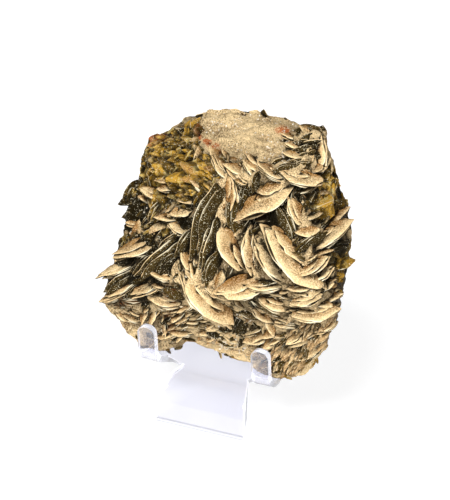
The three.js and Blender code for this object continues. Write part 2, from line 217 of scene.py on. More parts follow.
def sideriteFinish():
    look = {
        "cream": rgb(240, 210, 158), "tan": rgb(202, 152, 88), "sienna": rgb(168, 112, 52), "brown": rgb(92, 60, 24),
        "edge": rgb(250, 236, 200), "deep": rgb(12, 9, 2), "olive": rgb(48, 37, 11), "moss": rgb(84, 66, 27),
        "honey": rgb(142, 106, 30), "amber": rgb(210, 162, 62), "straw_glint": rgb(224, 202, 130),
        "rust": rgb(192, 104, 52), "oxblood": rgb(74, 26, 16), "glint": rgb(236, 226, 196),
    }
    f = Finish("siderite")
    place = f.node("ShaderNodeTexCoord", out=3)
    coat, pale, amber = f.attribute("coat"), f.attribute("pale"), f.attribute("amber")
    rust, tone, shade = f.attribute("rust"), f.attribute("tone"), f.attribute("shade")
    cloud = f.noise(place, 150, 5, 0.6)
    patch = f.noise(place, 420, 6, 0.68)
    grit = f.noise(place, 2100, 3, 0.75)
    glint = f.noise(place, 2500, 1, 0.8)
    grain = f.node("ShaderNodeMapping", Vector=place, Rotation=(0.4, 0.9, 0.5), Scale=(1.0, 1.0, 0.45))
    facets = f.node("ShaderNodeTexVoronoi", out=1, Vector=grain, Scale=760.0)
    cracks = f.node("ShaderNodeTexVoronoi", {"feature": "DISTANCE_TO_EDGE"}, Vector=grain, Scale=760.0)

    dust_and_shade = f.mix((cloud * 0.5 + patch * 0.5 + tone * 0.4).ramp(0.34, 0.6), look["cream"], look["tan"])
    dust_and_shade = f.mix((cloud * 0.6 + grit * 0.4 + tone * 0.3).ramp(0.5, 0.68) * 0.6, dust_and_shade, look["sienna"])
    dust_and_shade = f.mix(pale, dust_and_shade, look["cream"])
    # brown patches, more at sheltered points: partly painted shade
    dust_and_shade = f.mix((patch * 0.7 + cloud * 0.3 + shade * 0.25).ramp(0.5, 0.76) * 0.4, dust_and_shade, look["brown"])
    grains = (grit * 0.8 + cloud * 0.3).ramp(0.52, 0.65) * (0.9 - pale * 0.55)
    dust_and_shade = f.mix(grains, dust_and_shade, look["brown"])
    dust_and_shade = f.mix((1 - grit).ramp(0.54, 0.66) * 0.55, dust_and_shade, look["edge"])

    # amber zone: cells of random tone from olive through honey to amber, partly painted shading of the cleavage faces;
    # the straw specks are painted glints and the cell edges dark olive
    cut = facets * 0.6 + patch * 0.6 + tone * 0.5 - 0.1
    glow = f.mix(cut.ramp(0.2, 0.42), look["olive"], look["honey"])
    glow = f.mix(cut.ramp(0.42, 0.72), glow, look["amber"])
    glow = f.mix((facets * 0.5 + grit * 0.6).ramp(0.62, 0.74) * 0.8, glow, look["straw_glint"])
    glow = f.mix((1 - cracks.ramp(0.0, 0.05)) * 0.5, glow, look["olive"])
    dark = f.mix((patch + tone * 0.25).ramp(0.4, 0.64), look["olive"], look["moss"])
    dark = f.mix((0 - tone).ramp(0.3, 0.6) * 0.6, dark, look["deep"])
    dark = f.mix((grit * 0.6 + patch * 0.4).ramp(0.46, 0.6) * 0.75, dark, look["deep"])
    dark = f.mix((amber + (patch - 0.5) * 0.7).ramp(0.3, 0.7), dark, glow)
    # painted glints: bright specks on the dark faces
    dark = f.mix(glint.ramp(0.64, 0.69) * 0.95, dark, look["glint"])

    # sheltered points lose their coat and are darkened toward near black: painted shade
    cover = (coat - shade * 0.3 + (patch - 0.5) * 0.7 + (grit - 0.5) * 0.2).ramp(0.24, 0.56)
    base = f.mix(cover, dark, dust_and_shade)
    base = f.mix(shade.ramp(0.18, 0.6) * (0.95 - amber * 0.25), base, look["deep"])
    stain = (rust + (cloud - 0.5) * 0.6 + (patch - 0.5) * 0.6).ramp(0.4, 1.0)
    base = f.mix(stain * (patch + grit * 0.8).ramp(0.76, 1.0), base, look["rust"])
    base = f.mix((rust * (patch + 0.4)).ramp(1.2, 1.9) * 0.85, base, look["oxblood"])
    # painted highlight: rims and chip edges lightened toward near white
    base = f.mix((f.attribute("rim") * (0.55 + patch * 0.7)).ramp(0.35, 0.8), base, look["edge"])
    height = grit * (1.1 - pale * 0.6) + patch * 0.8 + glint * 0.3 + cracks * amber * 0.8
    bump = f.node("ShaderNodeBump", Strength=1.0, Distance=0.0011, Height=height)
    f.set(Base_Color=base, Roughness=0.42 + cover * 0.4, Normal=bump)
    f.set(Specular_IOR_Level=0.07)
    return f.material


def quartzFinish():
    f = Finish("quartz")
    place = f.node("ShaderNodeTexCoord", out=3)
    haze = f.noise(place, 700, 4, 0.6)
    bump = f.node("ShaderNodeBump", Strength=0.2, Distance=0.0002, Height=haze)
    f.set(Base_Color=f.mix(haze.ramp(0.35, 0.65), rgb(250, 242, 222), rgb(216, 182, 124)))
    f.set(Roughness=0.12 + haze * 0.2, Normal=bump)
    f.set(Transmission_Weight=0.35, IOR=1.544)
    return f.material


def acrylicFinish():
    f = Finish("acrylic")
    place = f.node("ShaderNodeTexCoord", out=3)
    smear = f.noise(place, 60, 3, 0.5)
    scratch = f.noise(f.node("ShaderNodeMapping", Vector=place, Scale=(900.0, 900.0, 90.0)), 1.0, 2, 0.5)
    worn = scratch.ramp(0.66, 0.74)
    bump = f.node("ShaderNodeBump", Strength=0.08, Distance=0.0002, Height=worn + smear * 0.2)
    glowing_rim = f.attribute("rim").ramp(0.5, 1.0)
    clear = f.mix(smear * (1 - glowing_rim), rgb(244, 244, 251), rgb(234, 234, 246))
    # painted contact shadow: a grey line along the foot's bottom edge
    f.set(Base_Color=f.mix(f.attribute("foot") * 0.85, clear, rgb(118, 116, 134)))
    f.set(Roughness=0.05 + worn * 0.2, Normal=bump)
    # painted highlight: the sheet's cut edges glow near white by emission
    f.set(Emission_Color=f.mix(glowing_rim, rgb(0, 0, 0), rgb(250, 250, 255)), Emission_Strength=0.3)
    f.set(Transmission_Weight=0.94, IOR=1.49)
    return f.material


siderite = sideriteFinish()
quartz = quartzFinish()
acrylic = acrylicFinish()
print("finishes made")


# ---- the easel's bent sheet, seen from the side: lengths in mm, turns in degrees

easel = {
    "sheet": 2.3, "width": 48.2, "hookWidth": 6.3, "neckWidth": 24.6, "footWidth": 34.0,
    "rearTopWidth": 34.0, "rearFootWidth": 24.0, "lean": 22.0, "hookRadius": 6.75,
    "hookCentre": (-3.3, 25.3), "lipLean": 5.0, "lipLength": 8.7, "lipRounding": 2.8,
    "panelLength": 36.0, "topBendRadius": 4.5, "rearSlope": 76.0, "neckDrop": 7.0,
    "neckRadius": 3.2, "tongueStart": 5.0, "tongueRadius": 10.9, "tongueEnd": 77.0,
    "slotAtHook": 10.6, "slotInside": 8.3, "slotAtNeck": 8.9,
}


def stepLength(step):
    length, radius, turn = step
    return abs(math.radians(turn)) * radius if turn else length


def walk(start, heading, steps, s):  # place (y, z) and angle after the length s
    y, z = start
    angle = math.radians(heading)
    for step in steps:
        run = min(s, stepLength(step))
        radius, turn = step[1:]
        if turn:
            side = math.copysign(1, turn)
            turned = angle + side * run / radius
            y += side * radius * (math.sin(turned) - math.sin(angle))
            z -= side * radius * (math.cos(turned) - math.cos(angle))
            angle = turned
        else:
            y += run * math.cos(angle)
            z += run * math.sin(angle)
        s -= run
    return y, z, angle


def straight(length):
    return (length, 0, 0)


def bend(radius, turn):
    return (0, radius, turn)


lean = math.radians(easel["lean"])
downPanel = 270 - easel["lean"]
bendPoint = (easel["hookCentre"][0] + easel["hookRadius"] * math.cos(lean),
             easel["hookCentre"][1] - easel["hookRadius"] * math.sin(lean))
hookSteps = [bend(easel["hookRadius"], 90 + easel["lipLean"] - downPanel), straight(easel["lipLength"])]
tongueSteps = [straight(easel["neckDrop"]),
               bend(easel["neckRadius"], 180 + easel["tongueStart"] - downPanel),
               bend(easel["tongueRadius"], easel["tongueEnd"] - easel["tongueStart"])]
tongueBent = sum(stepLength(step) for step in tongueSteps)
tongueDrop = walk(bendPoint, downPanel, tongueSteps, tongueBent)[1]
tongueSteps.append(straight(tongueDrop / math.sin(math.radians(easel["tongueEnd"]))))
rearSteps = [straight(easel["panelLength"]),
             bend(easel["topBendRadius"], easel["lean"] - 90 - easel["rearSlope"])]
rearBent = sum(stepLength(step) for step in rearSteps)
rearDrop = walk(bendPoint, 90 - easel["lean"], rearSteps, rearBent)[1]
rearSteps.append(straight(rearDrop / math.sin(math.radians(easel["rearSlope"]))))
lengths = {"hook": sum(map(stepLength, hookSteps)), "tongue": sum(map(stepLength, tongueSteps)),
           "rear": sum(map(stepLength, rearSteps))}

# where the easel stands in the frame: its own middle in x, its foot's front edge in y
footEnd = walk(bendPoint, downPanel, tongueSteps, lengths["tongue"])
footFront = footEnd[0] - easel["sheet"] / 2 / math.sin(math.radians(easel["tongueEnd"]))
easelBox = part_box("acrylic_stand")
easelShift = Vector(((easelBox[0][0] + easelBox[1][0]) / 2, easelBox[0][1] - footFront * mm, 0))


# ---- the specimen's show side: (a, h) as seen, m in front of its flat back, all in mm

face = {"turn": 25.0, "tilt": 25.0, "middle": (0.7, 5.1, 59.0), "seatGap": 0.3}
turn, tilt = math.radians(face["turn"]), math.radians(face["tilt"])
acrossWay = np.array((math.cos(turn), math.sin(turn), 0.0))
outWay = np.array((math.sin(turn) * math.cos(tilt), -math.cos(turn) * math.cos(tilt), math.sin(tilt)))
upWay = np.cross(outWay, acrossWay)
panelWay = np.array((0.0, -math.cos(lean), math.sin(lean)))
faceMiddle = np.array(face["middle"])
backPlane = panelWay @ np.array((0, *bendPoint)) + easel["sheet"] / 2 + face["seatGap"]


def spot(a, h, m):  # arrays or numbers to places in mm, before the easel's shift
    a, h, m = (np.asarray(value, dtype=np.float64)[..., None] for value in (a, h, m))
    place = faceMiddle + a * acrossWay + h * upWay
    short = backPlane + m - (place @ panelWay)[..., None]
    return place + short / (panelWay @ outWay) * outWay


def seen(places):  # the other way round: places in mm to a, h, m
    away = places - faceMiddle
    return away @ acrossWay, away @ upWay, places @ panelWay - backPlane


outline = np.array([
    (-5, 47, 5), (4, 47, 5), (11, 46, 5), (17, 44, 5), (22, 42.5, 5), (27, 40.5, 6), (31, 40.5, 6),
    (33, 39, 6), (33.3, 35, 6), (34.6, 31, 6), (36.5, 24, 6), (38, 18, 6), (40, 14.5, 6), (41, 8, 6),
    (41, 2, 6), (40.5, -4, 6), (39, -12, 5), (38, -17, 5), (36.8, -22.5, 5), (34.3, -27, 5),
    (33.4, -32.5, 4), (29.6, -36.5, 4), (27.2, -40.5, 4), (24, -42, 4), (18, -42.5, 4), (13, -41, 4),
    (9, -37.5, 5), (3, -35.3, 5), (-5, -33, 5), (-13, -29.8, 6), (-18, -32.5, 4), (-22.5, -34.2, 4),
    (-28, -32.8, 5), (-33, -28.3, 9), (-36, -24, 12), (-39.5, -19.5, 16), (-40.5, -13, 18),
    (-38, -7, 19), (-37, -1, 19), (-34, 5, 19), (-32.7, 12, 18), (-32, 19, 17), (-28.3, 25, 14),
    (-28, 32, 11), (-26, 38, 9), (-19, 40.3, 7), (-12.5, 45, 6),
])

facets = [  # planes of the broken matrix: a, h, m, slope across, slope upward
    (0, 0, 26.5, 0.05, 0.02), (-40, -12, 21, 0.3, 0), (8, 28, 24, 0.04, -1.02), (-12, 20, 25, 0.6, -0.5),
    (29, 0, 26, -1.62, 0), (29, 20, 21, -1.3, -0.25), (0, -29.8, 10, 0.19, 0.95),
]

swells = [  # hollows and lumps: a, h, radius, height
    (12.5, 12, 5, -5), (25, 17.5, 5.5, -4), (10.5, -24, 4.5, -5), (-29.5, 11, 5, -3.5),
    (-30, -6, 5, -2.5), (2.5, 28.5, 3, -2), (16, -16, 4, -2.5), (-4, 12, 6, 1.5), (27, 38, 4.5, 3.5),
    (4, 31.5, 4, -1.6), (-16, 30, 6, 2), (21.5, -5, 9, 2.5), (-9, -12, 7, 2.5), (-20, -16, 6, 1.5),
]


def matrixHeight(a, h):
    height = np.minimum.reduce([m + (a - x) * across + (h - y) * up for x, y, m, across, up in facets])
    for x, y, radius, rise in swells:
        height = height + rise * np.exp(-((a - x) ** 2 + (h - y) ** 2) / radius ** 2)
    return height


zones = [  # how each area is covered: a, h, radius, then coat, pale, amber, rust
    (-19, 31, 8, 0.15, 0.1, 0.9, 0.1), (-23, 37, 4, 0.4, 0.1, 0.7, 1.1), (-15.5, 27, 2.6, 0, 0, 0, 0),
    (-14, 33.5, 3.5, 0.1, 0, 0.3, 0), (-26, 25, 5, 0.2, 0, 0.9, 0), (-11, 42, 4, 0.3, 0.1, 0.8, 0.2),
    (-9, 29, 4, 0.2, 0, 0.9, 0), (8, 38, 13, 1.1, 0.3, 0.1, 0.12), (16, 33, 7, 1.2, 0.8, 0, 0),
    (12, 43, 5, 1.1, 0.6, 0, 0), (25, 42, 4, 0.7, 0.1, 0.3, 0), (18.8, 39, 2.6, 1.1, 0, 0, 2.2),
    (-6.4, 36, 0.8, 1, 0, 0.1, 2.4), (-4.8, 35.2, 1, 1, 0, 0.1, 3.4), (-3, 34.6, 0.8, 1, 0, 0.1, 2.2),
    (-3.4, 32.8, 2.8, 1, 0, 0.3, 1.2), (-8.7, 37.6, 0.8, 0.1, 0, 0, 2.4),
    (0, 44, 6, 1.1, 0.2, 0.2, 0.2), (-2, 40, 4, 1, 0, 0.1, 0.4), (6, 31.5, 4, 0.8, 0.1, 0.1, 0.2),
    (31, 15, 4.5, 0.15, 0, 0.8, 0.15), (36, 22, 3.5, 0.2, 0.1, 0.9, 0), (37.5, 13, 4, 0.05, 0, 0.5, 0),
    (38, -2, 4, 0.3, 0.3, 1, 0), (38, -11, 3, 0.3, 0.1, 0.7, 0), (37, -19, 3, 0.4, 0.2, 0.6, 0),
    (27, -34, 7, 0.95, 0.5, 0.4, 0.05), (0, -30, 7, 0.95, 0.5, 0.3, 0.1), (22, -25, 6, 1, 0.6, 0, 0), (-28, -20, 6, 1, 0.4, 0, 0.3), (-16, -27, 6, 0.85, 0.05, 0.2, 0.5),
    # the bare zones over the hollows keep them dark olive: partly painted shade
    (5, -24, 4, 0.05, 0, 0.2, 0), (12, 12, 4, 0, 0, 0, 0), (25, 17.5, 4, 0, 0, 0, 0),
    (-31, 12, 4, 0, 0, 0.15, 0), (-34.5, 1.3, 3, 0.1, 0, 0.8, 0), (-32, -16, 5, 0.9, 0, 0, 0.7),
    (-19, -16, 5, 1, 0.1, 0, 0.5), (-35, -22.5, 5, 0.6, 0, 0.1, 0.25), (3, 14, 5, 0.3, 0.1, 0.3, 0),
    (-18, 10, 6, 0.35, 0.1, 0.5, 0.1), (-12, 20, 4, 0.3, 0.1, 0.8, 0.1), (31, 33, 5, 1, 0.5, 0, 0),
    (-8, 16, 4, 0.2, 0, 0.2, 0), (-11, 6, 4, 0.05, 0, 0.1, 0), (-24, -4, 7, 0.1, 0, 0.15, 0),
    (-29, -9, 5, 0.1, 0, 0.1, 0), (8, 20, 5, 0.3, 0, 0.4, 0), (-3, 22, 4, 0.35, 0.1, 0.6, 0.1),
    (12, -5, 4, 0.3, 0, 0.1, 0), (30, 0, 4, 0.2, 0, 0.3, 0), (24, -9, 3, 0.2, 0, 0.1, 0), (26, 1, 3.5, 0.15, 0, 0.1, 0), (-4, -4, 3, 0.1, 0, 0, 0), (-3, 28, 3.5, 0.35, 0.1, 0.8, 0.25), (0, -8, 14, 1, 0.35, 0.05, 0.1), (22, -18, 9, 1.2, 0.65, 0.05, 0),
    (4, -16, 8, 1.1, 0.4, 0.05, 0.1), (12, 0, 8, 1, 0.4, 0, 0), (28, 4, 6, 0.9, 0.5, 0.1, 0),
]
plainCover = (0.5, 0.1, 0.25, 0.05)


def coverAt(a, h):  # coat, pale, amber and rust there, weighed by nearness to the zones
    a, h = np.asarray(a, dtype=np.float64), np.asarray(h, dtype=np.float64)
    total = np.full(a.shape, 0.12)
    sums = [total * value for value in plainCover]
    for x, y, radius, *values in zones:
        near = np.exp(-((a - x) ** 2 + (h - y) ** 2) / radius ** 2)
        total = total + near
        sums = [held + near * value for held, value in zip(sums, values)]
    return [held / total for held in sums]


def paintCover(thing, coat, pale, amber, rust, tone, rim):
    for name, values in (("coat", coat), ("pale", pale), ("amber", amber), ("rust", rust),
                         ("tone", tone), ("rim", rim)):
        paint(thing, name, values)


# ---- matrix: a sphere pushed out to the broken outline, then roughened

matrixShape = {"segments": 360, "rings": 190, "middle": (0.0, 3.0), "backInset": 0.95}


def loopAt(angles):  # outline points at even steps round it, ends joined
    ring = np.vstack((outline, outline[:1]))
    steps = np.r_[0, np.cumsum(np.hypot(*np.diff(ring[:, :2], axis=0).T))]
    along = (angles / (2 * math.pi) % 1) * steps[-1]
    return [np.interp(along, steps, ring[:, column]) for column in range(3)]


def makeMatrix():
    deselectAll()
    bpy.ops.mesh.primitive_uv_sphere_add(segments=matrixShape["segments"], ring_count=matrixShape["rings"],
                                         radius=1)
    matrix = bpy.context.object
    matrix.name = "siderite_matrix"
    ball = readCoords(matrix)
    pole = np.arccos(np.clip(ball[:, 2], -1, 1)) / (math.pi / 2)  # 0 in front, 1 at the rim, 2 behind
    edgeA, edgeH, edgeM = loopAt(np.arctan2(-ball[:, 1], ball[:, 0]))
    front = pole <= 1
    part = np.where(front, pole, 2 - pole) ** 0.9
    middleA, middleH = matrixShape["middle"]
    a = middleA + (edgeA - middleA) * part
    h = middleH + (edgeH - middleH) * part
    m = np.maximum(edgeM, matrixHeight(a, h))
    fade = np.clip((part - 0.93) / 0.07, 0, 1)
    m = m * (1 - fade) + edgeM * fade
    left = np.clip(-edgeA / 20, 0, 1)
    backA = matrixShape["backInset"] * edgeA + 0.5 * edgeM * left
    backH = np.where(edgeH > 0, matrixShape["backInset"] * edgeH, edgeH)
    wall = np.clip((pole - 1) / 0.12, 0, 1)  # the side between the rim and the flat back
    inner = np.clip((2 - pole) / 0.88, 0, 1)
    behindA = np.where(wall < 1, edgeA + (backA - edgeA) * wall, backA * inner)
    behindH = np.where(wall < 1, edgeH + (backH - edgeH) * wall, backH * inner)
    a = np.where(front, a, behindA)
    h = np.where(front, h, behindH)
    m = np.where(front, m, edgeM * (1 - wall))
    writeCoords(matrix, (spot(a, h, m) * mm) + np.array(easelShift))
    activate(matrix)
    bpy.ops.object.mode_set(mode="EDIT")
    bpy.ops.mesh.select_all(action="SELECT")
    bpy.ops.mesh.normals_make_consistent(inside=False)
    bpy.ops.object.mode_set(mode="OBJECT")
    for name, kind, size, strength in (("blocks", "VORONOI", 0.0052, 0.001), ("lumps", "VORONOI", 0.0021, 0.0007),
                                       ("grit", "CLOUDS", 0.0008, 0.0006)):
        texture = bpy.data.textures.new(name, kind)
        texture.noise_scale = size
        if kind == "VORONOI":
            texture.distance_metric = "MANHATTAN"
        push = matrix.modifiers.new(name, "DISPLACE")
        push.texture = texture
        push.texture_coords = "LOCAL"
        push.strength = strength
        push.mid_level = 0.6
    applyAll(matrix)
    return matrix


def wander(places, size):  # smooth noise from -1 to 1 at each place
    return np.array([noise.noise(Vector(place) / size) for place in places])


matrix = makeMatrix()
placed = (readCoords(matrix) - np.array(easelShift)) / mm
a, h, m = seen(placed)
normals = np.empty(len(placed) * 3, dtype=np.float32)
matrix.data.vertices.foreach_get("normal", normals)
facing = normals.reshape(-1, 3) @ panelWay
behind = np.clip(0.4 - 1.2 * facing, 0, 1)
hollow = np.clip(wander(placed, 8.0) * 3 + wander(placed, 3.0) * 1.2 + 0.2, 0, 1.5)
placed = placed + (np.clip(-2 * facing - 0.8, 0, 1) * hollow * np.clip(1.5 - m, 0, 1))[:, None] * panelWay
placed = placed + np.maximum(0.02 - seen(placed)[2], 0)[:, None] * panelWay  # nothing past the flat back
writeCoords(matrix, placed * mm + np.array(easelShift))
coat, pale, amber, rust = coverAt(a, h)
drift = wander(placed, 11.0)
coat = np.clip(coat * 1.2 - 0.05 + 0.45 * wander(placed + 90, 3.2), 0, 1.1) * (1 - behind) + behind * (0.42 + 0.5 * drift)
amber = amber * (1 - behind) + behind * (0.35 - 0.5 * wander(placed + 50, 8.0))
paintCover(matrix, coat, pale * (1 - behind), amber, rust * (1 - behind) + 0.12 * behind, behind * 0.5 - 0.5, 0)
dress(matrix, siderite)
print("matrix made", len(matrix.data.polygons))


# ---- easel: flat grids bent along their lines, joined into one sheet and thickened

def strip(columns, rows, placeAt):
    deselectAll()
    bpy.ops.mesh.primitive_grid_add(x_subdivisions=len(columns) - 1, y_subdivisions=len(rows) - 1, size=1)
    sheet = bpy.context.object
    flat = readCoords(sheet)
    across = np.rint((flat[:, 0] + 0.5) * (len(columns) - 1)).astype(int)
    down = np.rint((flat[:, 1] + 0.5) * (len(rows) - 1)).astype(int)
    writeCoords(sheet, [placeAt(columns[i], rows[j]) for i, j in zip(across, down)])
    return sheet


def blendOf(first, second, part):
    return first + (second - first) * part


def smoothPart(value, low, high):
    part = min(max((value - low) / (high - low), 0), 1)
    return part * part * (3 - 2 * part)


sheetGrid = {"hook": 13, "web": 9, "neck": 17, "slot": 11, "bend": 14, "lip": 8, "overrun": 1.5}
outerX, innerX = easel["width"] / 2, easel["width"] / 2 - easel["hookWidth"]
neckX, hookMiddle = easel["neckWidth"] / 2, easel["width"] / 2 - easel["hookWidth"] / 2
hookArc = stepLength(hookSteps[0])
slotParts = np.linspace(0, 1, sheetGrid["slot"])
hookColumns = hookMiddle - easel["hookWidth"] / 2 * np.cos(np.linspace(0, math.pi, sheetGrid["hook"]))
webParts = np.linspace(0, 1, sheetGrid["web"])
neckColumns = np.linspace(-neckX, neckX, sheetGrid["neck"])


def hookPlace(side):
    def place(x, s):
        inset = max(0, abs(x - hookMiddle) - (easel["hookWidth"] / 2 - easel["lipRounding"]))
        short = easel["lipRounding"] - math.sqrt(max(0, easel["lipRounding"] ** 2 - inset ** 2))
        past = max(0, (s - hookArc) / (lengths["hook"] - hookArc))
        y, z, angle = walk(bendPoint, downPanel, hookSteps, s - short * past)
        return side * x, y, z
    return place


def webPlace(side):
    def place(part, slotPart):
        if part < 0.5:
            depth = blendOf(easel["slotAtHook"], easel["slotInside"], math.sqrt(part * 2))
        else:
            depth = blendOf(easel["slotInside"], easel["slotAtNeck"], (part * 2 - 1) ** 2)
        hook = walk(bendPoint, downPanel, hookSteps, slotPart * depth)
        tongue = walk(bendPoint, downPanel, tongueSteps, slotPart * depth)
        share = smoothPart(part, 0, 1)
        return side * blendOf(innerX, neckX, part), blendOf(hook[0], tongue[0], share), \
            blendOf(hook[1], tongue[1], share)
    return place


def tonguePlace(x, s):
    down = max(0, (s - easel["slotAtNeck"]) / (lengths["tongue"] - easel["slotAtNeck"]))
    flare = 1 + (easel["footWidth"] / easel["neckWidth"] - 1) * math.sin(min(down, 1) * math.pi / 2) ** 0.9
    y, z, angle = walk(bendPoint, downPanel, tongueSteps, s)
    past = max(0, s - lengths["tongue"])
    return x * flare, y + past * math.cos(angle), z + past * math.sin(angle)


def rearPlace(x, s):
    panel = easel["panelLength"]
    top = blendOf(easel["width"], easel["rearTopWidth"], smoothPart(s, 0.3 * panel, panel))
    back = max(0, (s - rearBent) / (lengths["rear"] - rearBent))
    width = blendOf(top, easel["rearFootWidth"], back)
    y, z, angle = walk(bendPoint, 90 - easel["lean"], rearSteps, s)
    past = max(0, s - lengths["rear"])
    return x * width / easel["width"], y + past * math.cos(angle), z + past * math.sin(angle)


def spaced(*stops):  # (value, steps) pairs after the first value
    rows = [stops[0]]
    for value, steps in stops[1:]:
        rows += list(np.linspace(rows[-1], value, steps + 1)[1:])
    return rows


def makeEasel():
    lip = lengths["hook"]
    over = sheetGrid["overrun"]
    hookRows = list(slotParts * easel["slotAtHook"]) + spaced(easel["slotAtHook"], (hookArc, 14), (lip, 8))[1:]
    tongueRows = list(slotParts * easel["slotAtNeck"])
    tongueRows += spaced(easel["slotAtNeck"], (tongueBent, 26), (lengths["tongue"], 6),
                         (lengths["tongue"] + over, 1))[1:]
    rearRows = spaced(0, (easel["panelLength"], 20), (rearBent, 20), (lengths["rear"], 20),
                      (lengths["rear"] + over, 1))
    half = list(neckColumns[neckColumns > 0.001]) + list(blendOf(neckX, innerX, webParts)[1:])
    half += list(hookColumns[1:])
    wide = [-x for x in reversed(half)] + [0] + half
    strips = [strip(neckColumns, tongueRows, tonguePlace), strip(wide, rearRows, rearPlace)]
    for side in (-1, 1):
        strips.append(strip(hookColumns, hookRows, hookPlace(side)))
        strips.append(strip(webParts, slotParts, webPlace(side)))
    sheet = joinAs(strips, "acrylic_easel")
    writeCoords(sheet, readCoords(sheet) * mm + np.array(easelShift))
    bpy.ops.object.mode_set(mode="EDIT")
    bpy.ops.mesh.select_all(action="SELECT")
    bpy.ops.mesh.remove_doubles(threshold=0.00002)
    bpy.ops.mesh.normals_make_consistent(inside=False)
    bpy.ops.object.mode_set(mode="OBJECT")
    sides = [side for polygon in sheet.data.polygons for side in polygon.edge_keys]
    lone = [end for side in sides if sides.count(side) == 1 for end in side]
    # the sheet's cut edges, which glow as a painted highlight
    paint(sheet, "rim", np.isin(np.arange(len(sheet.data.vertices)), lone) * 1.0)
    thick = sheet.modifiers.new("thick", "SOLIDIFY")
    thick.thickness = easel["sheet"] * mm
    thick.offset = 0
    applyAll(sheet)
    bpy.ops.object.mode_set(mode="EDIT")
    bpy.ops.mesh.select_all(action="SELECT")
    bpy.ops.mesh.bisect(plane_co=(0, 0, 0), plane_no=(0, 0, 1), use_fill=True, clear_inner=True)
    bpy.ops.mesh.select_all(action="SELECT")
    bpy.ops.mesh.normals_make_consistent(inside=False)
    bpy.ops.object.mode_set(mode="OBJECT")
    edge = sheet.modifiers.new("edge", "BEVEL")
    edge.width = 0.0003
    edge.segments = 2
    edge.limit_method = "ANGLE"
    edge.angle_limit = math.radians(40)
    applyAll(sheet)
    # the foot's bottom edge, painted as a contact shadow
    paint(sheet, "foot", (readCoords(sheet)[:, 2] < 0.0002) * 1.0)
    bpy.ops.object.shade_smooth_by_angle(angle=math.radians(35))
    dress(sheet, acrylic)
    return sheet


easelPiece = makeEasel()
print("easel made", len(easelPiece.data.polygons))

room = easelPiece.copy()  # the easel a gap thicker, which the stone keeps clear of
room.data = easelPiece.data.copy()
bpy.context.collection.objects.link(room)
grow = room.modifiers.new("grow", "DISPLACE")
grow.strength = face["seatGap"] * mm
grow.mid_level = 0
applyAll(room)
roomTree = BVHTree.FromPolygons([vertex.co for vertex in room.data.vertices],
                                [polygon.vertices for polygon in room.data.polygons])
roomTop = 0.062


def clearOfEasel(coords):  # moves what would be inside the sheet out to its face
    for index in np.nonzero(coords[:, 2] < roomTop)[0]:
        point = Vector(coords[index])
        nearest, normal, face, distance = roomTree.find_nearest(point, 0.004)
        if nearest is not None and (point - nearest).dot(normal) < 0:
            coords[index] = nearest + normal * 0.00005
    return coords


# ---- blades: lens-shaped plates leaning out of the matrix, each with its under-layers

